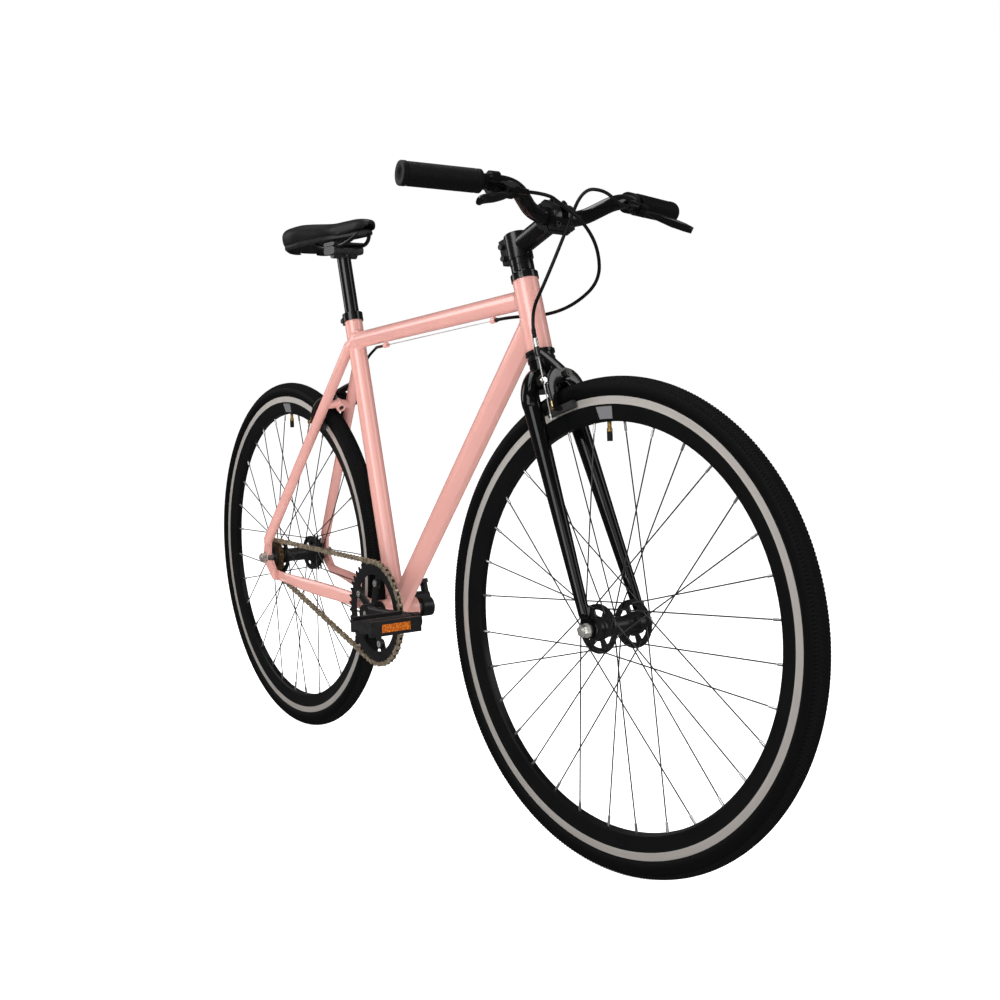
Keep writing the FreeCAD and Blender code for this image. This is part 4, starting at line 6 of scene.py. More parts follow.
import bmesh
import bpy
import numpy as np
from mathutils import Matrix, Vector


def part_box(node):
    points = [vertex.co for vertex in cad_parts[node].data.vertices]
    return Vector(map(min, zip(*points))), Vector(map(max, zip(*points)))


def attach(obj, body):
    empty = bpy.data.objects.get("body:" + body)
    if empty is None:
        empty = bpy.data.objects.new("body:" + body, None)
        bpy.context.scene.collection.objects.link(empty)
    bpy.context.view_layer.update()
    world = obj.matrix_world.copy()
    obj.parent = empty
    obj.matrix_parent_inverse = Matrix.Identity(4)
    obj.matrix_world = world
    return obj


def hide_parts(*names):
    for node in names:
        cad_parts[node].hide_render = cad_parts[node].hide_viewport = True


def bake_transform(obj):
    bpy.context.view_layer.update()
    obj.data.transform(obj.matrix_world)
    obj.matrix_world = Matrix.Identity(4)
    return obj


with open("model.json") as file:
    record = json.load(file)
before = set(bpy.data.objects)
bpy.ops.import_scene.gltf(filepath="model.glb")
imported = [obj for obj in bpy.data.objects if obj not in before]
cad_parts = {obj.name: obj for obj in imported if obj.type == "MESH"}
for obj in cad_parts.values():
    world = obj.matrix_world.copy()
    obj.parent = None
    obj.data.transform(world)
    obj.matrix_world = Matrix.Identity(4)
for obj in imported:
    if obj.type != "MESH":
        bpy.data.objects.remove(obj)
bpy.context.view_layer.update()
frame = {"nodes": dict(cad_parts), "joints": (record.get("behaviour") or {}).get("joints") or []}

bl_info = {
    "name": "Fixed gear bicycle looks",
    "version": (1, 0, 0),
    "blender": (4, 5, 0),
    "location": "View3D > Sidebar > Bicycle",
    "description": "Finishes, tread, welds, grips, cables, saddle and studio of a pink fixed gear bicycle",
    "category": "Object",
}

MM = 0.001
# Points nearer than this are merged, in metres
MERGE = 1e-6
# Frames for which the saddle's pad swells
SWELL_FRAMES = 20
# Half the floor's side and its depth under the tyres, in metres
FLOOR_HALF, FLOOR_DROP = 40, 0.0004
# Name, place, width, height and brightness of each soft box
STUDIO_BOXES = (("soft_box_right", (1.2, -2.8, 2.1), 1.8, 2.2, 5.6),
                ("soft_box_front", (3.4, -1.5, 1.7), 2.4, 1.8, 1.8),
                ("soft_box_left", (2.6, 2.4, 2.0), 1.2, 2.2, 3.0),
                ("soft_box_over", (-0.1, -0.2, 3.1), 3.0, 1.2, 4.6),
                ("soft_box_back", (-2.6, -1.8, 1.9), 1.2, 2.0, 3.5))
JOINTS = {joint["name"]: joint for joint in frame["joints"]}


def unit(vector):
    """A vector, or each row of an array of vectors, at length one."""
    return vector / np.linalg.norm(vector, axis=-1, keepdims=True)


# Radii of the frame's tubes in millimetres, and the share of the down tube's at which its lower flats lie
TOP_TUBE, DOWN_TUBE, SEAT_TUBE, HEAD_TUBE, BRACKET_SHELL = 14.3, 18.25, 15.9, 19, 21
DOWN_TUBE_FLAT = 16.4 / DOWN_TUBE
# Where the top and down tubes' axes meet the head tube's and the seat tube's, in millimetres along those
TOP_ON_HEAD, DOWN_ON_HEAD, TOP_ON_SEAT = 491, 455.5, 489

# Steering frame: ahead, left and up of the turned fork, from the foot of the steering axis
STEER_FOOT = np.array(JOINTS["steering_turn"]["pos_m"])
STEER_UP = unit(np.array(JOINTS["steering_turn"]["axis"]))
STEER_LEFT = unit(np.array(JOINTS["front_wheel_spin"]["axis"]))
STEER_AHEAD = np.cross(STEER_LEFT, STEER_UP)

# Frame lines: middle of the bottom bracket, way up the seat tube and way to the rider's left
BRACKET = np.array(JOINTS["crank_spin"]["pos_m"])
SEAT_UP = unit(np.array(JOINTS["seat_height"]["axis"]))
SIDEWAYS = np.array([0.0, 1.0, 0.0])


def steered(ahead, left, up):
    """Point in the shared frame of a steering frame point in millimetres."""
    return STEER_FOOT + MM * (ahead * STEER_AHEAD + left * STEER_LEFT + up * STEER_UP)


def on_head(along):
    """Point on the steering axis, in millimetres above its foot."""
    return STEER_FOOT + MM * along * STEER_UP


def on_seat(along):
    """Point on the seat tube's axis, in millimetres above the bottom bracket."""
    return BRACKET + MM * along * SEAT_UP


class Wheel:
    """One wheel's place: its middle, its axle's way, and the way from the middle to the valve."""

    def __init__(self, side):
        joint = JOINTS[side + "_wheel_spin"]
        self.side = side
        self.middle = np.array(joint["pos_m"])
        self.axle = unit(np.array(joint["axis"]))
        low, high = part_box(side + "_valve")
        reach = (np.array(low) + np.array(high)) / 2 - self.middle
        self.valve = unit(reach - self.axle * (reach @ self.axle))
        self.round = np.cross(self.axle, self.valve)


class Signal:
    """A shader socket that takes part in sums: an expression on signals adds Math nodes."""

    def __init__(self, recipe, socket):
        self.recipe = recipe
        self.socket = socket

    def maths(self, operation, *others):
        inputs = dict(enumerate([self, *others]))
        return self.recipe.add("ShaderNodeMath", {"operation": operation}, inputs)

    def __add__(self, other):
        return self.maths("ADD", other)

    def __sub__(self, other):
        return self.maths("SUBTRACT", other)

    def __rsub__(self, other):
        return self * -1 + other

    def __mul__(self, other):
        return self.maths("MULTIPLY", other)

    def __pow__(self, power):
        return self.maths("POWER", power)

    def __abs__(self):
        return self.maths("ABSOLUTE")

    def sine(self):
        return self.maths("SINE")

    def most(self, other):
        return self.maths("MAXIMUM", other)

    def ramp(self, low, high):
        """0 below low and 1 above high, or the reverse, with a smooth step between."""
        inputs = {"Value": self, "From Min": low, "From Max": high}
        return self.recipe.add("ShaderNodeMapRange", {"interpolation_type": "SMOOTHSTEP"}, inputs)

    def between(self, low, high, edge):
        """1 from low to high, with smooth edges of the given width."""
        return self.ramp(low - edge, low + edge) * self.ramp(high + edge, high - edge)


class Recipe:
    """One material's nodes. Its point is the Object coordinate, in metres."""

    def __init__(self, name):
        self.material = bpy.data.materials.new(name)
        self.material.use_nodes = True
        self.tree = self.material.node_tree
        self.surface = self.tree.nodes["Principled BSDF"]
        self.point = self.add("ShaderNodeTexCoord", output="Object")

    def add(self, kind, settings=None, inputs=None, output=0):
        """A node of that kind with its settings set first, then its sockets given values or links."""
        made = self.tree.nodes.new(kind)
        for setting, value in (settings or {}).items():
            setattr(made, setting, value)
        for socket, value in (inputs or {}).items():
            self.feed(made.inputs[socket], value)
        return Signal(self, made.outputs[output])

    def feed(self, socket, value):
        """Links a signal to a socket, or sets its value."""
        if isinstance(value, Signal):
            self.tree.links.new(value.socket, socket)
        else:
            socket.default_value = value

    def mix(self, share, first, second):
        """The first colour where share is 0 and the second where it is 1."""
        first, second = [c if isinstance(c, Signal) else (*c, 1.0) for c in (first, second)]
        inputs = {0: share, 6: first, 7: second}
        return self.add("ShaderNodeMix", {"data_type": "RGBA"}, inputs, output=2)

    def noise(self, scale, detail=2.0, roughness=0.5, point=None):
        """Cloudy noise from 0 to 1; scale is in waves a metre."""
        inputs = {"Vector": point or self.point, "Scale": scale, "Detail": detail, "Roughness": roughness}
        return self.add("ShaderNodeTexNoise", None, inputs, output="Fac")

    def cells(self, scale, feature="F1", point=None):
        """Distance in a net of cells; scale is in cells a metre."""
        inputs = {"Vector": point or self.point, "Scale": scale}
        return self.add("ShaderNodeTexVoronoi", {"feature": feature}, inputs, output="Distance")

    def along(self, vector, way):
        """Share of a vector along a way, in millimetres."""
        inputs = {0: vector, 1: tuple(way)}
        share = self.add("ShaderNodeVectorMath", {"operation": "DOT_PRODUCT"}, inputs, output="Value")
        return share * (1 / MM)

    def axes(self, middle, *ways):
        """Millimetres from a point along each of the ways."""
        inputs = {0: self.point, 1: tuple(middle)}
        reach = self.add("ShaderNodeVectorMath", {"operation": "SUBTRACT"}, inputs)
        return [self.along(reach, way) for way in ways]

    def polar(self, wheel):
        """Radius, angle from the valve and place along the axle of a wheel, in millimetres and radians."""
        up, side, across = self.axes(wheel.middle, wheel.valve, wheel.round, wheel.axle)
        radius = (up * up + side * side) ** 0.5
        return radius, side.maths("ARCTAN2", up), across

    def bump(self, height, depth, strength):
        """Normal of a height of 0 to 1 that stands depth millimetres tall."""
        inputs = {"Height": height, "Distance": depth * MM, "Strength": strength}
        return self.add("ShaderNodeBump", None, inputs, output="Normal")

    def done(self, **sockets):
        """Feeds the surface's sockets, named in lower case with _ for a space, and gives the material."""
        for socket in self.surface.inputs:
            value = sockets.pop(socket.name.lower().replace(" ", "_"), None)
            if value is not None:
                self.feed(socket, (*value, 1.0) if isinstance(value, tuple) and len(value) == 3 else value)
        if sockets:
            raise ValueError("no socket for " + ", ".join(sockets))
        return self.material


def shade(colour, factor):
    """A colour made lighter or darker."""
    return tuple(min(1.0, part * factor) for part in colour)


def sprayed_paint(name, colour, coat, gloss, shine=0.5):
    """Sprayed enamel: slight cloud in the colour and a faint orange peel under a clear coat."""
    recipe = Recipe(name)
    cloud = recipe.noise(9.0, 3.0)
    tone = recipe.mix(cloud.ramp(0.35, 0.65), shade(colour, 0.975), shade(colour, 1.02))
    peel = recipe.noise(600.0, 2.0)
    rough = recipe.noise(20.0, 3.0) * 0.04 + gloss
    normal = recipe.bump(peel, 0.004, 0.4)
    return recipe.done(base_color=tone, roughness=rough, specular_ior_level=shine, coat_weight=coat,
                       coat_roughness=0.2, normal=normal)


def satin_alloy(name, colour, rough=0.3, grain=0.006):
    """Blasted and dyed alloy: fine grain, faint cloud and a soft sheen."""
    recipe = Recipe(name)
    fine = recipe.noise(2600.0, 2.0)
    cloud = recipe.noise(30.0, 3.0)
    tone = recipe.mix(cloud.ramp(0.3, 0.7), shade(colour, 0.85), shade(colour, 1.2))
    gloss = cloud * 0.08 + fine * 0.06 + (rough - 0.07)
    return recipe.done(base_color=tone, roughness=gloss, specular_ior_level=0.36,
                       normal=recipe.bump(fine, grain, 0.5))


def plain_steel(name, colour, rough=0.24):
    """Plated or brushed steel: fine scratches one way and faint stains."""
    recipe = Recipe(name)
    stretched = recipe.add("ShaderNodeMapping", None, {"Vector": recipe.point, "Scale": (1.0, 14.0, 1.0)})
    scratch = recipe.noise(240.0, 4.0, 0.6, stretched)
    stain = recipe.noise(90.0, 4.0)
    tone = recipe.mix(stain.ramp(0.35, 0.7), colour, shade(colour, 0.72))
    return recipe.done(base_color=tone, metallic=0.8, roughness=scratch * 0.16 + (rough - 0.05),
                       normal=recipe.bump(scratch, 0.015, 0.6))


def moulded(name, colour, rough, pit, scale=1400.0):
    """Moulded plastic or rubber with a fine spark-worn texture."""
    recipe = Recipe(name)
    grain = recipe.noise(scale, 3.0)
    cloud = recipe.noise(60.0, 3.0)
    tone = recipe.mix(cloud.ramp(0.3, 0.7), shade(colour, 0.8), shade(colour, 1.25))
    return recipe.done(base_color=tone, roughness=grain * 0.14 + (rough - 0.07), specular_ior_level=0.16,
                       normal=recipe.bump(grain, pit, 0.8))


def rim_finish(wheel, look):
    """Black rim with a turned bright brake track and a plain grey patch at the valve."""
    recipe = Recipe(wheel.side + "_rim_black_and_bright")
    radius, angle, across = recipe.polar(wheel)
    track = radius.between(look.track_inner / MM, look.track_outer / MM, 0.25)
    track = track * abs(across).ramp(10.6, 10.9)
    turned_way = recipe.add("ShaderNodeCombineXYZ", None, {"X": radius * 5, "Y": angle * 3})
    rings = recipe.noise(1.0, 3.0, 0.6, turned_way)
    arc = abs(angle * radius)
    patch_inner, patch_outer = 284.5, 301.5
    height = radius.between(patch_inner, patch_outer, 0.3)
    patch = height * (arc - (radius - patch_inner) * 0.18).ramp(12.3, 11.7)
    cloud = recipe.noise(24.0, 3.0)
    black = recipe.mix(cloud, (0.0022, 0.0022, 0.0023), (0.004, 0.004, 0.0042))
    dressed = recipe.mix(patch, black, (0.13, 0.13, 0.135))
    bright = recipe.mix(rings, (0.60, 0.55, 0.51), (0.88, 0.83, 0.78))
    tone = recipe.mix(track, dressed, bright)
    rough = track * (rings * 0.12 + 0.04) + cloud * 0.08 + 0.27
    normal = recipe.bump(rings * track, 0.03, 0.8)
    return recipe.done(base_color=tone, metallic=track * 0.8, roughness=rough, specular_ior_level=0.14,
                       normal=normal)


def tyre_rubber(wheel):
    """Black tyre: cord lines and mould rings on the wall, dull worn tread."""
    recipe = Recipe(wheel.side + "_tyre_rubber")
    radius, angle, _ = recipe.polar(wheel)
    grain = recipe.noise(900.0, 3.0)
    tread = radius.ramp(334.0, 336.5)
    cord = ((radius * 1.3 + angle * 420).sine() + (radius * 1.3 - angle * 420).sine()) * 0.12
    ring = (radius - 321.5).maths("PINGPONG", 1.6).ramp(0.2, 0.5) * radius.between(317.0, 326.0, 0.3)
    tone = recipe.mix(tread, (0.0022, 0.0022, 0.0023), (0.0038, 0.0038, 0.0039))
    rough = tread * 0.16 + grain * 0.1 + 0.5
    normal = recipe.bump(grain * 0.25 + cord * (1 - tread) + ring * 0.5, 0.12, 0.7)
    return recipe.done(base_color=tone, roughness=rough, specular_ior_level=0.06, normal=normal)


def spoke_finish(wheel):
    """Black spokes with bright plated nipples at the rim."""
    recipe = Recipe(wheel.side + "_spoke_black_and_bright")
    radius, _, _ = recipe.polar(wheel)
    nipple = radius.ramp(266.8, 267.4)
    stain = recipe.noise(300.0, 2.0)
    bright = recipe.mix(stain, (0.50, 0.49, 0.47), (0.72, 0.71, 0.69))
    tone = recipe.mix(nipple, (0.012, 0.012, 0.012), bright)
    return recipe.done(base_color=tone, metallic=nipple * 0.95, roughness=stain * 0.1 + 0.26)


def valve_finish(wheel):
    """Threaded brass stem with a black ribbed cap."""
    recipe = Recipe(wheel.side + "_valve_brass")
    radius, angle, across = recipe.polar(wheel)
    cap = radius.ramp(267.6, 267.2)
    thread = (radius * 8.0).sine() * 0.5 + 0.5
    ribs = ((angle * radius).maths("ARCTAN2", across) * 16).sine() * 0.5 + 0.5
    brass = recipe.mix(thread, (0.36, 0.22, 0.06), (0.60, 0.40, 0.14))
    tone = recipe.mix(cap, brass, (0.004, 0.004, 0.004))
    normal = recipe.bump(thread * (1 - cap) + ribs * cap, 0.25, 0.7)
    return recipe.done(base_color=tone, metallic=(1 - cap) * 0.95, roughness=cap * 0.2 + 0.3,
                       specular_ior_level=0.2, normal=normal)


def chain_finish():
    """Nickel chain with brown oil stains."""
    recipe = Recipe("chain_nickel")
    stain = recipe.noise(160.0, 4.0, 0.6)
    fine = recipe.noise(1500.0, 2.0)
    tone = recipe.mix(stain.ramp(0.35, 0.65), (0.52, 0.44, 0.33), (0.22, 0.17, 0.11))
    return recipe.done(base_color=tone, metallic=0.75, roughness=stain * 0.2 + 0.22,
                       normal=recipe.bump(fine, 0.01, 0.6))


def amber_lens(name):
    """Amber reflector: a net of small prisms under a smooth face."""
    recipe = Recipe(name)
    prism = recipe.cells(420.0)
    tone = recipe.mix(prism.ramp(0.1, 0.6), (0.80, 0.22, 0.010), (0.36, 0.075, 0.004))
    return recipe.done(base_color=tone, roughness=0.22, coat_weight=0.8, coat_roughness=0.04,
                       normal=recipe.bump(prism, 0.6, 0.8))


def saddle_vinyl(colour):
    """Soft black vinyl: fine leather grain and a satin sheen."""
    recipe = Recipe("saddle_vinyl")
    warp = recipe.noise(70.0, 2.0) * 0.012
    bent = recipe.add("ShaderNodeVectorMath", {"operation": "ADD"}, {0: recipe.point, 1: warp})
    grain = recipe.cells(620.0, "SMOOTH_F1", bent)
    cloud = recipe.noise(26.0, 4.0)
    tone = recipe.mix(cloud.ramp(0.3, 0.7), shade(colour, 0.8), shade(colour, 1.25))
    return recipe.done(base_color=tone, roughness=cloud * 0.1 + grain * 0.08 + 0.4, specular_ior_level=0.16,
                       normal=recipe.bump(grain, 0.16, 0.6))


def caliper_finish(name, origin, ahead, left, up, cable_side):
    """Gloss black brake arms with dull pads, bright adjuster and anchor, and brassy pad bolts.
    Places are in millimetres from the centre bolt: ahead of it, to its left and above it."""
    recipe = Recipe(name)
    out, side, rise = recipe.axes(origin, ahead, left, up)
    reach = abs(side)
    pad = reach.between(13.0, 21.9, 0.15) * rise.ramp(-38.0, -39.0)
    post = reach.ramp(38.6, 39.0) * rise.ramp(-40.0, -41.0)
    line = abs(side - cable_side)
    barrel = line.ramp(5.0, 4.8) * rise.ramp(39.6, 40.0)
    anchor = abs(side - cable_side * 1.06).ramp(6.0, 5.8) * abs(rise + 10).ramp(6.0, 5.8)
    anchor = anchor * out.ramp(16.6, 16.8)
    bright = barrel.most(anchor)
    knurl = (rise * 5.0).sine() * 0.5 + 0.5
    cloud = recipe.noise(60.0, 3.0)
    black = recipe.mix(cloud, (0.004, 0.004, 0.004), (0.006, 0.006, 0.006))
    tone = recipe.mix(pad, black, (0.02, 0.02, 0.02))
    tone = recipe.mix(post, tone, (0.45, 0.34, 0.17))
    tone = recipe.mix(bright, tone, (0.70, 0.69, 0.66))
    metal = bright.most(post) * 0.95
    rough = pad * 0.5 + cloud * 0.06 + 0.1
    peel = recipe.noise(420.0, 2.0)
    normal = recipe.bump(peel * 0.1 + knurl * barrel, 0.2, 0.5)
    return recipe.done(base_color=tone, metallic=metal, roughness=rough, specular_ior_level=0.35,
                       coat_weight=(1 - pad) * 0.2, coat_roughness=0.08, normal=normal)


def clamp_finish():
    """Black saddle clamp whose upper half is a dark grey metal plate."""
    recipe = Recipe("clamp_black_and_bright")
    low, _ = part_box("saddle_rails")
    level = np.array([0, 0, low.z + 3.5 * MM])
    rise, side = recipe.axes(level, (0, 0, 1), SIDEWAYS)
    plate = rise.ramp(0.2, 0.6) * abs(side).ramp(19.0, 18.6)
    scratch = recipe.noise(500.0, 3.0)
    grey = recipe.mix(scratch, (0.03, 0.03, 0.03), (0.07, 0.07, 0.068))
    tone = recipe.mix(plate, (0.010, 0.010, 0.010), grey)
    return recipe.done(base_color=tone, metallic=plate * 0.95, roughness=scratch * 0.15 + 0.28)


def wire_finish(name, way):
    """Bright brake wire: the strands wound round it, drawn as fine stripes."""
    recipe = Recipe(name)
    line, = recipe.axes((0, 0, 0), way)
    strand = (line * 4.2).sine() * 0.5 + 0.5
    tone = recipe.mix(strand, (0.44, 0.44, 0.43), (0.58, 0.58, 0.57))
    return recipe.done(base_color=tone, metallic=0.6, roughness=strand * 0.1 + 0.3,
                       normal=recipe.bump(strand, 0.03, 0.5))


def housing_finish():
    """Black plastic cable housing with a fine grain."""
    recipe = Recipe("housing_black")
    grain = recipe.noise(900.0, 2.0)
    cloud = recipe.noise(80.0, 2.0)
    tone = recipe.mix(cloud, (0.003, 0.003, 0.003), (0.006, 0.006, 0.006))
    return recipe.done(base_color=tone, roughness=grain * 0.1 + 0.25, specular_ior_level=0.12,
                       normal=recipe.bump(grain, 0.02, 0.5))


def grip_rubber(name, middle, way):
    """Soft grip rubber; the closed end's dished cap is a lighter grey."""
    recipe = Recipe(name)
    grain = recipe.noise(1600.0, 3.0)
    end, = recipe.axes(middle, way)
    cap = end.ramp(-1.4, -1.2)
    tone = recipe.mix(cap, (0.003, 0.003, 0.0031), (0.022, 0.022, 0.023))
    return recipe.done(base_color=tone, roughness=grain * 0.15 + 0.5, specular_ior_level=0.09,
                       normal=recipe.bump(grain, 0.06, 0.7))


def studio_floor(colour, glow):
    """Pale studio floor with a very faint cloud, lit evenly as a paper sweep is."""
    recipe = Recipe("studio_floor")
    cloud = recipe.noise(1.5, 2.0)
    tone = recipe.mix(cloud, shade(colour, 0.985), colour)
    return recipe.done(base_color=tone, roughness=0.8, specular_ior_level=0.0, emission_color=tone,
                       emission_strength=glow)


def surface(name, points, wrap_rows=False, wrap_columns=False):
    """Object from a grid of points: quad (i, j) joins points (i, j), (i+1, j), (i+1, j+1) and (i, j+1).
    A wrapped direction joins its last line to its first. Coinciding points merge and faces turn outwards."""
    rows, columns = points.shape[:2]
    starts = np.arange(rows - (not wrap_rows)), np.arange(columns - (not wrap_columns))
    i, j = np.meshgrid(*starts, indexing="ij")
    below, beside = (i + 1) % rows * columns, (j + 1) % columns
    quads = np.stack([i * columns + j, below + j, below + beside, i * columns + beside], axis=-1)
    mesh = bpy.data.meshes.new(name)
    mesh.from_pydata(points.reshape(-1, 3).tolist(), [], quads.reshape(-1, 4).tolist())
    work = bmesh.new()
    work.from_mesh(mesh)
    bmesh.ops.remove_doubles(work, verts=work.verts, dist=MERGE)
    bmesh.ops.recalc_face_normals(work, faces=work.faces)
    work.to_mesh(mesh)
    work.free()
    mesh.shade_smooth()
    piece = bpy.data.objects.new(name, mesh)
    bpy.context.scene.collection.objects.link(piece)
    return piece


def turn(points):
    """Angles of points spread evenly round a full turn."""
    return np.linspace(0, 2 * math.pi, points, endpoint=False)


def ring_about(way, angle):
    """Unit vectors square to a way, one at each angle round it."""
    side = unit(np.cross(way, SIDEWAYS if abs(way @ SIDEWAYS) < 0.9 else np.array([0.0, 0.0, 1.0])))
    return np.cos(angle)[:, None] * side + np.sin(angle)[:, None] * np.cross(way, side)


def turned(name, middle, way, along, radii, sides):
    """Surface of revolution: point (k, a) is middle + way along_k + radius_k (n cos a + b sin a).
    A profile that leaves the axis at both ends is closed from its last point to its first."""
    points = middle + along[:, None, None] * way + radii[:, None, None] * ring_about(way, turn(sides))
    return surface(name, points, wrap_rows=bool(radii[0] and radii[-1]), wrap_columns=True)


def smooth_line(points, steps):
    """Points along a NURBS spline of order 3 with the given control points, from the first to the last."""
    curve = bpy.data.curves.new("route", "CURVE")
    curve.dimensions = "3D"
    spline = curve.splines.new("NURBS")
    spline.points.add(len(points) - 1)
    spline.points.foreach_set("co", np.column_stack([points, np.ones(len(points))]).ravel())
    spline.order_u = 3
    spline.use_endpoint_u = True
    curve.resolution_u = steps
    holder = bpy.data.objects.new("route", curve)
    mesh = bpy.data.meshes.new_from_object(holder)
    line = mesh_points(mesh)
    bpy.data.objects.remove(holder)
    bpy.data.curves.remove(curve)
    bpy.data.meshes.remove(mesh)
    return line


def tube(name, line, radius, sides):
    """Tube round a line: ring k is line_k + radius (n cos a + b sin a), with n and b square to the line.
    The first and last rings are closed by a ring of no radius."""
    way = unit(np.gradient(line, axis=0))
    guide = np.linalg.svd(way)[2][-1]
    side = unit(guide - way * (way @ guide)[:, None])
    other = np.cross(way, side)
    angle = turn(sides)
    ring = np.cos(angle)[:, None] * side[:, None] + np.sin(angle)[:, None] * other[:, None]
    points = np.concatenate([line[:1, None] + 0 * ring[:1], line[:, None] + radius * ring,
                             line[-1:, None] + 0 * ring[-1:]])
    return surface(name, points, wrap_columns=True)


def weld_seam(name, start, way, radius, flats, base_point, base_way, base_radius, width):
    """Concave weld where a tube, with flats facing the given ways, meets a round base tube.
    At angle a the seam is the outer crossing of the line start + r_a e_a + s way with the base cylinder.
    The face is a quadratic arc from width up the tube, bent at the seam, to width out on the base."""
    seam_points, face_points, ripples = 120, 9, 40
    angle = turn(seam_points)
    spoke = ring_about(way, angle)
    radii = radius + 0 * angle
    for facing in flats:
        radii = np.minimum(radii, radius * DOWN_TUBE_FLAT / np.maximum(spoke @ facing, 1e-6))
    lines = start + radii[:, None] * spoke

    def square(vector):
        return vector - (vector @ base_way)[..., None] * base_way

    offset, pace = square(lines - base_point), square(way[None])[0]
    half = offset @ pace
    under = half ** 2 - (pace @ pace) * ((offset ** 2).sum(1) - base_radius ** 2)
    seam = lines + ((-half + np.sqrt(np.maximum(under, 0))) / (pace @ pace))[:, None] * way
    out = unit(square(seam - base_point))
    spread = unit(spoke - (spoke * out).sum(1)[:, None] * out)
    ripple = 1 + 0.05 * np.sin(angle * ripples)[:, None]
    foot = seam + spread * width
    foot = foot + out * (base_radius - np.linalg.norm(square(foot - base_point), axis=1))[:, None]
    top = seam + way * width
    t = np.linspace(0, 1, face_points)[None, :, None]
    bend = seam + (out + spoke) * width * 0.05 * ripple
    face = (1 - t) ** 2 * top[:, None] + 2 * t * (1 - t) * bend[:, None] + t ** 2 * foot[:, None]
    inner = (seam - (out + spoke) * width * 0.2)[:, None]
    return surface(name, np.concatenate([face, inner], axis=1), wrap_rows=True, wrap_columns=True)


def tyre_form(wheel, look):
    """Tyre casing with tread: point (u, v) turns about the axle by u; v goes round the section, bead to bead.
    The section is a circle; its radius falls by the tread depth in grooves, rings and shoulder cuts."""
    outer, section, bead_half = 342.5, 16.0, 9.7
    around = turn(look.tread_steps)[:, None]
    wall = np.linspace(2.62, 1.24, 6)
    across = np.concatenate([-wall, np.linspace(-1.18, 1.18, 28), wall[::-1]])[None, :]
    phase = around * look.tread_blocks / (2 * math.pi)
    lean = np.abs(across)
    chevron = phase + lean * 1.6 + (across > 0) * 0.5
    groove = (np.cos(chevron * 2 * math.pi) > 0.2) * (lean > 0.17) * (lean < 0.74)
    shoulder = (np.cos((phase - lean * 0.9) * 2 * math.pi) > 0.0) * (lean >= 0.82) * (lean < 1.12)
    ring = (np.abs(lean - 0.78) < 0.045) + (np.abs(lean - 0.13) < 0.045)
    cut = np.clip(groove * 0.8 + shoulder + ring, 0, 1) * look.tread_depth / MM
    radius = section - cut
    tread = outer - section + radius * np.cos(across)
    flank = radius * np.sin(across)
    bead = (lean > 1.6) & (np.abs(flank) < bead_half)
    flank = np.where(bead, np.sign(across) * bead_half, flank)
    spokes = np.cos(around)[..., None] * wheel.valve + np.sin(around)[..., None] * wheel.round
    points = wheel.middle + MM * (tread[..., None] * spokes + flank[..., None] * wheel.axle)
    return surface(wheel.side + "_tread_tyre", points, wrap_rows=True, wrap_columns=True)


def grip_form(node, side):
    """Grip: turned profile with a rounded flange at each end, grooves inside them and fine rings between.
    Gives the piece, the middle of its closed end and the way out of that end."""
    middle = steered(78.2, side * 258.7, 618.4)
    way = unit(middle - steered(106.2, side * 150.1, 607.3))
    bore, cap_depth = 11.3, 5.0
    reach = (mesh_points(frame["nodes"][node].data) - middle) @ way
    end, inner = reach.max(), reach.min()
    length = (end - inner) / MM
    body = np.linspace(11.5, length - 8.5, 440)
    rings = 16.0 + 0.2 * np.sin(body * 2 * math.pi / 1.5)
    outline = [(2.2, 0.0), (2.2, 1.6), (1.6, 1.9), (1.5, 8.8), (1.2, 9.6), (0.3, 10.6), (0.0, 12.2),
               (0.0, 14.8), (0.4, 15.9), (1.4, 16.5), (2.6, 16.7), (7.6, 16.7), (8.6, 16.5), (9.2, 16.2),
               (9.4, 15.6), (10.6, 15.5), (11.2, 15.8)]
    tail = [(length - 8.2, 15.8), (length - 7.6, 15.5), (length - 6.6, 15.5), (length - 6.2, 16.0),
            (length - 5.6, 16.2), (length - 1.6, 16.2), (length - 0.6, 15.9), (length, 15.2),
            (length, bore), (cap_depth, bore), (cap_depth, 0.0)]
    profile = np.array(outline + list(zip(body, rings)) + tail)
    origin = middle + way * end
    piece = turned(node + "_ringed", origin, -way, profile[:, 0] * MM, profile[:, 1] * MM, 56)
    return piece, origin, way


def ease(share):
    """Smooth step from 0 to 1 as the share passes from 0 to 1."""
    held = np.clip(share, 0, 1)
    return held * held * (3 - 2 * held)


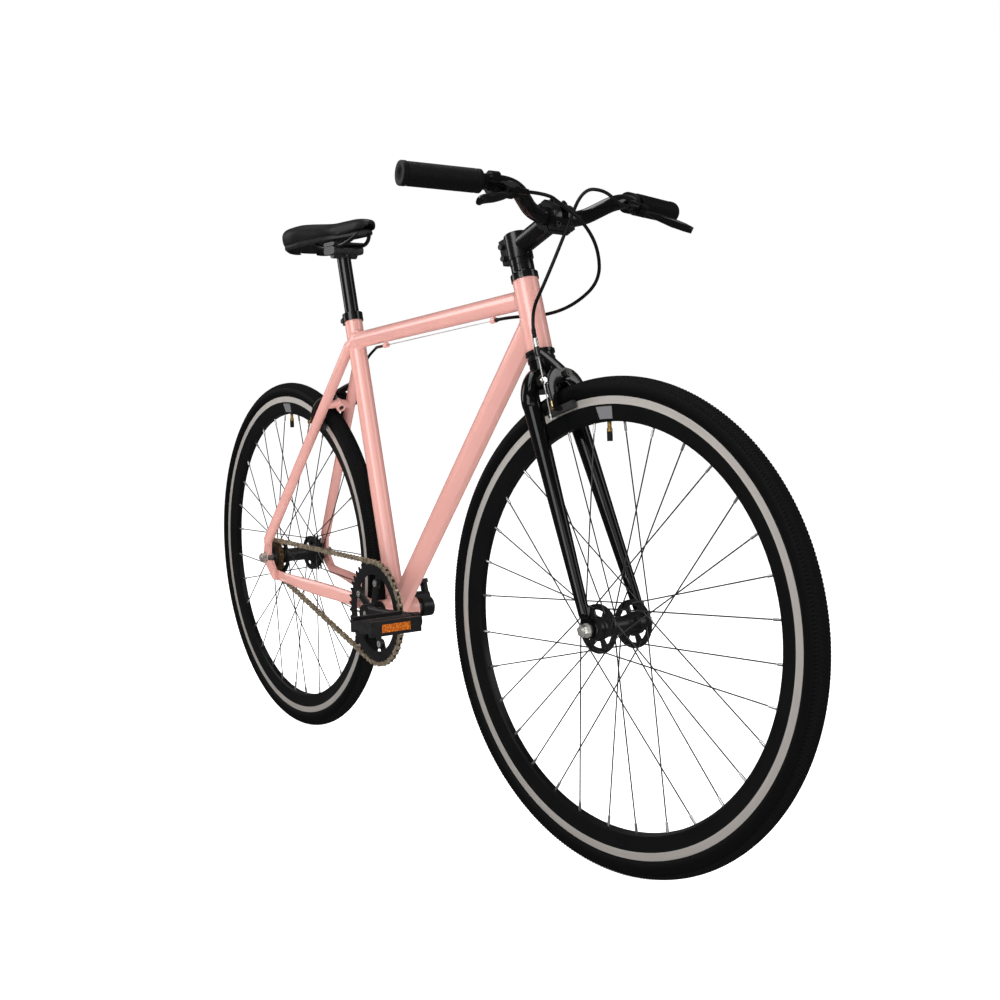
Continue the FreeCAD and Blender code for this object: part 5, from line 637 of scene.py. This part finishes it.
def saddle_shape():
    """Saddle: point (t, a) lies on a section across the saddle at t from its back to its nose.
    A section is a squared oval of half width w(t) and depth d(t) under the top line z(t), arched below."""
    low, high = [np.array(corner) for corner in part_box("saddle")]
    t = 0.5 - 0.5 * np.cos(np.linspace(0, math.pi, 92))
    angle = turn(72)
    waisted = ease((t - 0.18) / 0.38)
    rear, nose = np.maximum(0, 1 - t / 0.12), np.maximum(0, (t - 0.86) / 0.14)
    rounded = np.sqrt((1 - 0.9 * rear ** 2) * (1 - 0.88 * nose ** 2))
    broad = (1 - (0.52 + 0.2 * t) * waisted) * rounded
    dip = -0.15 * ease((t - 0.15) / 0.45) - 0.25 * rear ** 2.5 - 0.13 * nose ** 2.5
    deep = (1 - 0.5 * waisted) * rounded ** 0.8
    half, skirt = (high[1] - low[1]) / 2, high[2] - low[2]
    across = np.sign(np.cos(angle)) * np.abs(np.cos(angle)) ** 0.64
    rise = np.sign(np.sin(angle)) * np.abs(np.sin(angle)) ** np.where(np.sin(angle) < 0, 0.35, 0.78)
    drawn_in = 1 - 0.08 * np.maximum(0, -rise)
    arch = 0.7 * ease((0.86 - np.abs(across)) / 0.5) * (rise < 0)
    x = low[0] + (high[0] - low[0]) * t[:, None] + 0 * angle
    y = half * 0.985 * broad[:, None] * (across * drawn_in)
    depth = skirt * deep[:, None]
    z = high[2] - 0.5 * MM + skirt * dip[:, None] + depth * ((rise - 1) / 2 + arch)
    points = np.stack([x, y, z], axis=-1)
    ends = points[[0, -1]].mean(axis=1, keepdims=True) + 0 * points[[0, -1]]
    return surface("saddle_padded", np.concatenate([ends[:1], points, ends[1:]]), wrap_columns=True)


def swell(piece, cell, pressure, cap):
    """Remeshes a pad, lets pressure swell it as cloth, and keeps each point within cap of its start."""
    remesh = piece.modifiers.new("remesh", "REMESH")
    remesh.mode = "VOXEL"
    remesh.voxel_size = cell
    bake(piece)
    rest = mesh_points(piece.data)
    cloth = piece.modifiers.new("cloth", "CLOTH")
    cloth.settings.use_pressure = True
    cloth.settings.uniform_pressure_force = pressure
    cloth.settings.effector_weights.gravity = 0
    cloth.settings.quality = 4
    scene = bpy.context.scene
    for step in range(1, SWELL_FRAMES + 1):
        scene.frame_set(step)
    swollen = piece.evaluated_get(bpy.context.evaluated_depsgraph_get())
    moved = mesh_points(swollen.data) - rest
    size = np.linalg.norm(moved, axis=1, keepdims=True)
    moved *= np.minimum(1, cap / np.maximum(size, 1e-9))
    piece.modifiers.clear()
    piece.data.vertices.foreach_set("co", (rest + moved).ravel())
    piece.data.update()
    scene.frame_set(1)


def bake(piece):
    """Applies a piece's modifiers to its mesh."""
    bpy.context.view_layer.update()
    ready = piece.evaluated_get(bpy.context.evaluated_depsgraph_get())
    mesh = bpy.data.meshes.new_from_object(ready)
    piece.modifiers.clear()
    piece.data = mesh
    mesh.shade_smooth()


def mesh_points(mesh):
    """Vertices of a mesh as an array."""
    points = np.empty(len(mesh.vertices) * 3)
    mesh.vertices.foreach_get("co", points)
    return points.reshape(-1, 3)


def wear(material, *nodes):
    """Gives CAD nodes a material in all their slots."""
    for name in nodes:
        slots = frame["nodes"][name].material_slots
        if not slots:
            frame["nodes"][name].data.materials.append(material)
        for place in slots:
            place.material = material


def fit(piece, body, slot, material, *replaced):
    """Puts a new piece on its body with its finish, standing for the CAD nodes it replaces."""
    piece.data.materials.clear()
    piece.data.materials.append(material)
    if body:
        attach(piece, body)
    if replaced:
        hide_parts(*replaced)
    return piece


def number(name, about, value, measure="NONE", **limits):
    """Setting that is a number."""
    return bpy.props.FloatProperty(name=name, description=about, default=value, unit=measure, **limits)


def tint(name, about, value):
    """Setting that is a colour."""
    return bpy.props.FloatVectorProperty(name=name, description=about, default=value, subtype="COLOR")


def count(name, about, value, least):
    """Setting that is a whole number."""
    return bpy.props.IntProperty(name=name, description=about, default=value, min=least)


class BICYCLE_PG_paint(bpy.types.PropertyGroup):
    """Colours of the paints and the saddle."""

    frame_colour: tint("Frame", "Enamel of the frame", (0.60, 0.292, 0.255))
    fork_colour: tint("Fork", "Enamel of the fork", (0.0022, 0.0022, 0.0024))
    alloy_colour: tint("Alloy", "Black of the stem, bar, cranks and post", (0.0042, 0.0042, 0.0044))
    saddle_colour: tint("Saddle", "Vinyl of the saddle", (0.0055, 0.0055, 0.0057))
    coat: number("Clear coat", "Weight of the clear coat on the enamel", 0.8, min=0, max=1)
    weld_width: number("Weld width", "Width of a weld on each tube", 0.0048, "LENGTH")


class BICYCLE_PG_wheels(bpy.types.PropertyGroup):
    """Sizes of the tread and the brake track."""

    tread_depth: number("Tread depth", "Depth of the tread grooves", 0.0014, "LENGTH")
    tread_blocks: count("Tread blocks", "Grooves round the tyre", 400, 60)
    tread_steps: count("Tread steps", "Points round the tyre", 2400, 200)
    track_inner: number("Track inside", "Inner radius of the brake track", 0.3046, "LENGTH")
    track_outer: number("Track outside", "Outer radius of the brake track", 0.3168, "LENGTH")


class BICYCLE_PG_cables(bpy.types.PropertyGroup):
    """Sizes of the brake cables."""

    housing_radius: number("Housing radius", "Outside of a cable housing", 0.0025, "LENGTH")
    wire_radius: number("Wire radius", "Brake wire", 0.0008, "LENGTH")


class BICYCLE_PG_saddle(bpy.types.PropertyGroup):
    """How the saddle's padding swells."""

    cell: number("Cell", "Cell of the remeshed pad", 0.0035, "LENGTH")
    pressure: number("Pressure", "Pressure that swells the pad", 4.0)
    cap: number("Cap", "Furthest that the pad may swell", 0.004, "LENGTH")


class BICYCLE_PG_studio(bpy.types.PropertyGroup):
    """Camera, lights and floor."""

    camera_place: bpy.props.FloatVectorProperty(
        name="Camera", description="Place of the camera", default=(1.8453, -1.1263, 0.6836), unit="LENGTH")
    camera_heading: number("Heading", "Way that the camera looks", math.radians(146.962), "ROTATION")
    camera_tilt: number("Tilt", "How far the camera looks up", math.radians(-5.311), "ROTATION")
    camera_roll: number("Roll", "How far the camera leans", math.radians(-1.212), "ROTATION")
    lens: number("Lens", "Focal length in millimetres", 46.54)
    shift: number("Shift", "Sideways shift of the picture", 0.04)
    floor_colour: tint("Floor", "Studio floor", (0.90, 0.90, 0.90))
    floor_glow: number("Floor glow", "Evenness of the white floor", 1.12)
    light: number("Light", "Strength of the surrounding light", 0.09)


class BICYCLE_OT_stage(bpy.types.Operator):
    """Makes the camera, the lights and the floor"""

    bl_idname = "bicycle.stage"
    bl_label = "Studio"

    def execute(self, context):
        look = context.scene.bicycle_studio
        self.make_camera(context.scene, look)
        self.make_lights(context.scene, look)
        grid = np.array([[-1.0, -1.0, 0], [1, -1, 0], [-1, 1, 0], [1, 1, 0]]).reshape(2, 2, 3)
        floor = surface("studio_floor", grid * FLOOR_HALF - np.array([0, 0, FLOOR_DROP]))
        floor.data.materials.append(studio_floor(tuple(look.floor_colour), look.floor_glow))
        floor.visible_glossy = False
        return {"FINISHED"}

    @staticmethod
    def make_camera(scene, look):
        """Camera that looks along its heading and tilt, leaning by its roll."""
        heading, tilt, roll = look.camera_heading, look.camera_tilt, look.camera_roll
        ahead = np.array([math.cos(tilt) * math.cos(heading), math.cos(tilt) * math.sin(heading),
                          math.sin(tilt)])
        right = unit(np.cross(ahead, [0.0, 0.0, 1.0]))
        above = np.cross(right, ahead)
        leaned = right * math.cos(roll) + above * math.sin(roll)
        risen = above * math.cos(roll) - right * math.sin(roll)
        data = bpy.data.cameras.new("camera")
        data.lens = look.lens
        data.sensor_width = 36.0
        data.shift_x = look.shift
        data.clip_end = 100.0
        camera = bpy.data.objects.new("camera", data)
        rows = np.column_stack([leaned, risen, -ahead, np.array(look.camera_place)])
        camera.matrix_world = Matrix([*rows.tolist(), [0, 0, 0, 1]])
        scene.collection.objects.link(camera)
        scene.camera = camera

    @staticmethod
    def make_lights(scene, look):
        """A dim room seen as white behind the bicycle, with soft boxes at its sides, overhead and behind."""
        scene.view_settings.view_transform = "Standard"
        world = bpy.data.worlds.new("studio")
        world.use_nodes = True
        tree = world.node_tree
        sky = tree.nodes["Background"]
        sky.inputs["Color"].default_value = (1.0, 1.0, 1.0, 1.0)
        path = tree.nodes.new("ShaderNodeLightPath")
        level = tree.nodes.new("ShaderNodeMapRange")
        level.inputs["To Min"].default_value = look.light
        tree.links.new(path.outputs["Is Camera Ray"], level.inputs["Value"])
        tree.links.new(level.outputs["Result"], sky.inputs["Strength"])
        scene.world = world
        for name, place, wide, tall, brightness in STUDIO_BOXES:
            data = bpy.data.lights.new(name, "AREA")
            data.shape = "RECTANGLE"
            data.size, data.size_y = wide, tall
            data.energy = brightness * math.pi * wide * tall
            light = bpy.data.objects.new(name, data)
            ahead = unit(np.array([0.0, 0.0, 0.5]) - np.array(place))
            right = unit(np.cross(ahead, [0.02, 0.0, 1.0]))
            rows = np.column_stack([right, np.cross(right, ahead), -ahead, np.array(place)])
            light.matrix_world = Matrix([*rows.tolist(), [0, 0, 0, 1]])
            scene.collection.objects.link(light)


class BICYCLE_OT_frame(bpy.types.Operator):
    """Paints the frame and fork and lays the welds"""

    bl_idname = "bicycle.frame"
    bl_label = "Frame and fork"

    def execute(self, context):
        look = context.scene.bicycle_paint
        pink = sprayed_paint("frame_enamel", tuple(look.frame_colour), look.coat, 0.32)
        wear(pink, "frame")
        wear(sprayed_paint("fork_enamel", tuple(look.fork_colour), 0.0, 0.07, 0.2), "fork")
        alloy = satin_alloy("headset_black", (0.004, 0.004, 0.0042), 0.16, 0.004)
        wear(alloy, "headset_cups", "headset_spacers", "stem_cap")
        head_top, head_low, seat_end = on_head(TOP_ON_HEAD), on_head(DOWN_ON_HEAD), on_seat(TOP_ON_SEAT)
        to_seat, to_bracket = unit(seat_end - head_top), unit(BRACKET - head_low)
        below = unit(np.cross(to_bracket, SIDEWAYS))
        below = -below if below[2] > 0 else below
        flats = (unit(below + SIDEWAYS), unit(below - SIDEWAYS))
        top, down, post = TOP_TUBE * MM, DOWN_TUBE * MM, SEAT_TUBE * MM
        shell = (BRACKET, SIDEWAYS, BRACKET_SHELL * MM)
        head = (head_low, STEER_UP, HEAD_TUBE * MM)
        mast = (seat_end, SEAT_UP, post)
        seams = (("weld_top_tube_head", head_top, to_seat, top, (), head),
                 ("weld_top_tube_seat", seat_end, -to_seat, top, (), mast),
                 ("weld_down_tube_head", head_low, to_bracket, down, flats, head),
                 ("weld_down_tube_bracket", BRACKET, -to_bracket, down, flats, shell),
                 ("weld_seat_tube_bracket", BRACKET, SEAT_UP, post, (), shell))
        for name, start, way, radius, sides, base in seams:
            seam = weld_seam(name, start, way, radius, sides, *base, look.weld_width)
            fit(seam, "frame", "pink_paint", pink)
        return {"FINISHED"}


class BICYCLE_OT_wheels(bpy.types.Operator):
    """Finishes the wheels and makes their treaded tyres"""

    bl_idname = "bicycle.wheels"
    bl_label = "Wheels and tyres"

    def execute(self, context):
        look = context.scene.bicycle_wheels
        hub = satin_alloy("hub_black", (0.008, 0.008, 0.0085), 0.28, 0.01)
        steel = plain_steel("axle_steel", (0.62, 0.61, 0.58))
        tube_rubber = moulded("inner_tube_rubber", (0.012, 0.012, 0.012), 0.6, 0.03)
        for side in ("front", "rear"):
            wheel = Wheel(side)
            wear(rim_finish(wheel, look), side + "_rim")
            wear(spoke_finish(wheel), side + "_spokes")
            wear(valve_finish(wheel), side + "_valve")
            wear(hub, side + "_hub")
            wear(steel, side + "_axle")
            wear(tube_rubber, side + "_inner_tube")
            tyre = tyre_form(wheel, look)
            fit(tyre, side + "_wheel", "tyre", tyre_rubber(wheel), side + "_tyre")
        return {"FINISHED"}


class BICYCLE_OT_drive(bpy.types.Operator):
    """Finishes the chain, sprockets, cranks and pedals"""

    bl_idname = "bicycle.drive"
    bl_label = "Drive"

    def execute(self, context):
        black = tuple(context.scene.bicycle_paint.alloy_colour)
        wear(chain_finish(), "chain")
        wear(satin_alloy("crank_black", shade(black, 1.2), 0.34), "right_crank", "left_crank", "chainring")
        wear(plain_steel("bolt_steel", (0.60, 0.59, 0.57)), "chainring_bolts", "pedal_axles", "crank_spindle")
        wear(plain_steel("freewheel_bronze", (0.16, 0.095, 0.05), 0.34), "freewheel")
        wear(plain_steel("cog_dark", (0.055, 0.05, 0.045), 0.36), "fixed_cog", "freewheel_core",
             "bottom_bracket")
        wear(moulded("pedal_plastic", (0.012, 0.012, 0.0125), 0.42, 0.05), "right_pedal", "left_pedal")
        wear(amber_lens("reflector_amber"), "right_pedal_reflectors", "left_pedal_reflectors")
        return {"FINISHED"}


class BICYCLE_OT_cockpit(bpy.types.Operator):
    """Finishes the stem, bar and levers and makes the grips"""

    bl_idname = "bicycle.cockpit"
    bl_label = "Handlebar and grips"

    def execute(self, context):
        black = tuple(context.scene.bicycle_paint.alloy_colour)
        wear(satin_alloy("stem_black", shade(black, 0.6), 0.22), "stem", "stem_faceplate")
        wear(satin_alloy("bar_black", shade(black, 0.5), 0.13, 0.002), "handlebar")
        wear(satin_alloy("lever_black", shade(black, 0.5), 0.17, 0.003), "right_lever_bracket",
             "left_lever_bracket", "right_brake_lever", "left_brake_lever")
        wear(plain_steel("stem_bolt_steel", (0.05, 0.05, 0.05), 0.3), "stem_bolts")
        for node, side in (("left_grip", 1), ("right_grip", -1)):
            piece, end, way = grip_form(node, side)
            fit(piece, "steering", "rubber", grip_rubber(node + "_rubber", end, way), node)
        return {"FINISHED"}


class BICYCLE_OT_brakes(bpy.types.Operator):
    """Finishes the brake calipers"""

    bl_idname = "bicycle.brakes"
    bl_label = "Brakes"

    def execute(self, context):
        front = np.array(JOINTS["front_brake_left_close"]["pos_m"])
        rear_back = unit(np.array(JOINTS["rear_brake_left_close"]["axis"]))
        rear = np.array(JOINTS["rear_brake_left_close"]["pos_m"])
        rear_up = np.cross(rear_back, -SIDEWAYS)
        front_look = caliper_finish("front_caliper_black", front, STEER_AHEAD, STEER_LEFT, STEER_UP, -42.0)
        rear_look = caliper_finish("rear_caliper_black", rear, rear_back, -SIDEWAYS, rear_up, -42.0)
        wear(front_look, "front_brake_left_arm", "front_brake_right_arm")
        wear(rear_look, "rear_brake_left_arm", "rear_brake_right_arm")
        wear(plain_steel("brake_bolt_steel", (0.06, 0.06, 0.058), 0.3), "front_brake_bolt", "rear_brake_bolt")
        return {"FINISHED"}


class BICYCLE_OT_cables(bpy.types.Operator):
    """Makes the brake housings, wires, boots, ferrules and wire tips"""

    bl_idname = "bicycle.cables"
    bl_label = "Brake cables"

    FRONT = ((401.3, 112.6, 925.6), (412.3, 84.7, 925.9), (396.8, 72.8, 947.3), (400.2, 28.8, 946.3),
             (402.4, -1.0, 890.3), (388.4, -29.1, 817.8), (361.9, -37.5, 773.0), (372.8, -37.5, 738.7))
    REAR = ((422.2, -81.8, 932.2), (427.0, -52.2, 930.6), (416.3, -24.6, 922.0), (411.7, 20.4, 899.6),
            (411.3, 47.4, 863.8), (401.1, 57.8, 818.6), (354.6, 48.0, 788.0), (304.1, 34.0, 775.2),
            (259.9, 0.0, 775.4), (218.0, 0.0, 772.0))
    TAIL = ((-110.0, 0.0, 745.9), (-143.9, 0.0, 743.2), (-209.5, 37.0, 745.2), (-260.9, 42.0, 724.7),
            (-279.4, 42.0, 698.7))
    FRONT_TIP = (408.84, -37.49, 624.23)
    REAR_TIP = (-349.02, 42.0, 600.88)
    # Profiles of the small turned pieces: way along the cable and radius, in millimetres
    TIP = ((0.0, 0.0), (0.0, 0.9), (0.6, 1.2), (3.0, 1.2), (3.4, 1.0), (4.6, 1.0), (5.0, 1.2), (9.4, 1.2),
           (10.0, 1.0), (10.0, 0.0))
    BOOT = ((0.0, 1.0), (0.0, 3.0), (0.5, 3.2), (6.0, 3.2), (6.6, 2.9), (7.6, 2.9), (8.2, 3.4), (9.2, 3.4),
            (9.8, 2.9), (10.8, 2.9), (11.4, 3.3), (15.0, 2.9), (15.0, 2.4))
    FERRULE = ((0.0, 0.9), (0.0, 2.9), (0.5, 3.2), (9.0, 3.2), (9.8, 3.0), (10.4, 2.6), (10.4, 2.45))
    # Points between two control points of a route, and sides of a housing and a wire
    STEPS, SIDES, WIRE_SIDES = 24, 20, 12
    # Points from a housing's end that give its way there; HELD is not used
    END, HELD = 5, 30

    def execute(self, context):
        look = context.scene.bicycle_cables
        black = housing_finish()
        routes = (self.FRONT, self.REAR, self.TAIL)
        front, rear, tail = [smooth_line(np.array(route) * MM, self.STEPS) for route in routes]
        fit(tube("front_housing", front, look.housing_radius, self.SIDES), "steering", "housing", black,
            "front_brake_cable")
        crossing = tube("rear_housing_front", rear, look.housing_radius, self.SIDES)
        fit(crossing, None, "housing", black, "rear_brake_housing")
        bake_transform(crossing)
        fit(tube("rear_housing_back", tail, look.housing_radius, self.SIDES), "frame", "housing", black,
            "rear_brake_cable")
        front_tip, rear_tip = np.array(self.FRONT_TIP) * MM, np.array(self.REAR_TIP) * MM
        runs = (("front_wire", front[-1], front_tip, "front_brake_right"),
                ("rear_wire_top_tube", rear[-1], tail[0], "frame"),
                ("rear_wire_tail", tail[-1], rear_tip, "rear_brake_left"))
        for name, start, end, body in runs:
            line = start + np.linspace(0, 1, 3)[:, None] * (end - start)
            strands = wire_finish(name + "_strands", unit(end - start))
            fit(tube(name, line, look.wire_radius, self.WIRE_SIDES), body, "steel", strands)
        crimp = plain_steel("wire_tip_alloy", (0.6, 0.6, 0.58))
        rubber = moulded("boot_rubber", (0.006, 0.006, 0.006), 0.5, 0.03)
        plastic = moulded("ferrule_black", (0.012, 0.012, 0.012), 0.3, 0.02)
        back = -1 - self.END
        tip = (self.TIP, 16, "steel", crimp)
        boot = (self.BOOT, 20, "housing", rubber)
        ferrule = (self.FERRULE, 20, "housing", plastic)
        ends = (("front_wire_tip", front_tip, front[-1], "front_brake_right", tip),
                ("rear_wire_tip", rear_tip, tail[-1], "rear_brake_left", tip),
                ("front_boot", front[-1], front[back], "front_brake_right", boot),
                ("rear_boot", tail[-1], tail[back], "rear_brake_left", boot),
                ("ferrule_front_stop", rear[-1], rear[back], "frame", ferrule),
                ("ferrule_rear_stop", tail[0], tail[self.END], "frame", ferrule))
        for name, end, towards, body, (profile, sides, slot, finish) in ends:
            along, radii = np.array(profile).T * MM
            fit(turned(name, end, unit(towards - end), along, radii, sides), body, slot, finish)
        return {"FINISHED"}


class BICYCLE_OT_saddle(bpy.types.Operator):
    """Makes the padded saddle and finishes the seatpost, collar, clamp and rails"""

    bl_idname = "bicycle.saddle"
    bl_label = "Saddle and seatpost"

    def execute(self, context):
        look = context.scene.bicycle_saddle
        black = tuple(context.scene.bicycle_paint.alloy_colour)
        wear(satin_alloy("post_black", shade(black, 0.5), 0.2, 0.004), "seatpost", "seat_collar")
        wear(clamp_finish(), "saddle_clamp")
        wear(satin_alloy("rail_black", shade(black, 0.8), 0.3), "saddle_rails")
        wear(moulded("saddle_shell", (0.010, 0.010, 0.010), 0.5, 0.05), "saddle_base")
        pad = saddle_shape()
        swell(pad, look.cell, look.pressure, look.cap)
        rounding = pad.modifiers.new("rounding", "SUBSURF")
        rounding.levels = rounding.render_levels = 1
        vinyl = saddle_vinyl(tuple(context.scene.bicycle_paint.saddle_colour))
        fit(pad, "seat", "saddle_cover", vinyl, "saddle")
        return {"FINISHED"}


class BICYCLE_PT_looks(bpy.types.Panel):
    """Sidebar list of the bicycle's pieces and their settings"""

    bl_idname = "BICYCLE_PT_looks"
    bl_label = "Bicycle looks"
    bl_space_type = "VIEW_3D"
    bl_region_type = "UI"
    bl_category = "Bicycle"

    def draw(self, context):
        for operator in OPERATORS:
            self.layout.operator(operator.bl_idname)
        for place, group in GROUPS.items():
            box = self.layout.box()
            for setting in group.__annotations__:
                box.prop(getattr(context.scene, place), setting)


GROUPS = {
    "bicycle_paint": BICYCLE_PG_paint,
    "bicycle_wheels": BICYCLE_PG_wheels,
    "bicycle_cables": BICYCLE_PG_cables,
    "bicycle_saddle": BICYCLE_PG_saddle,
    "bicycle_studio": BICYCLE_PG_studio,
}
OPERATORS = (BICYCLE_OT_stage, BICYCLE_OT_cables, BICYCLE_OT_frame, BICYCLE_OT_wheels, BICYCLE_OT_drive,
             BICYCLE_OT_cockpit, BICYCLE_OT_brakes, BICYCLE_OT_saddle)


def register():
    """Registers the settings, operators and panel."""
    for place, group in GROUPS.items():
        bpy.utils.register_class(group)
        setattr(bpy.types.Scene, place, bpy.props.PointerProperty(type=group))
    for operator in OPERATORS:
        bpy.utils.register_class(operator)
    bpy.utils.register_class(BICYCLE_PT_looks)


def unregister():
    """Removes what register added."""
    bpy.utils.unregister_class(BICYCLE_PT_looks)
    for operator in reversed(OPERATORS):
        bpy.utils.unregister_class(operator)
    for place, group in reversed(GROUPS.items()):
        delattr(bpy.types.Scene, place)
        bpy.utils.unregister_class(group)


def main():
    """Dresses the bicycle."""
    register()
    bpy.ops.bicycle.stage()
    bpy.ops.bicycle.cables()
    bpy.ops.bicycle.frame()
    bpy.ops.bicycle.wheels()
    bpy.ops.bicycle.drive()
    bpy.ops.bicycle.cockpit()
    bpy.ops.bicycle.brakes()
    bpy.ops.bicycle.saddle()


if __name__ == "__main__":
    main()
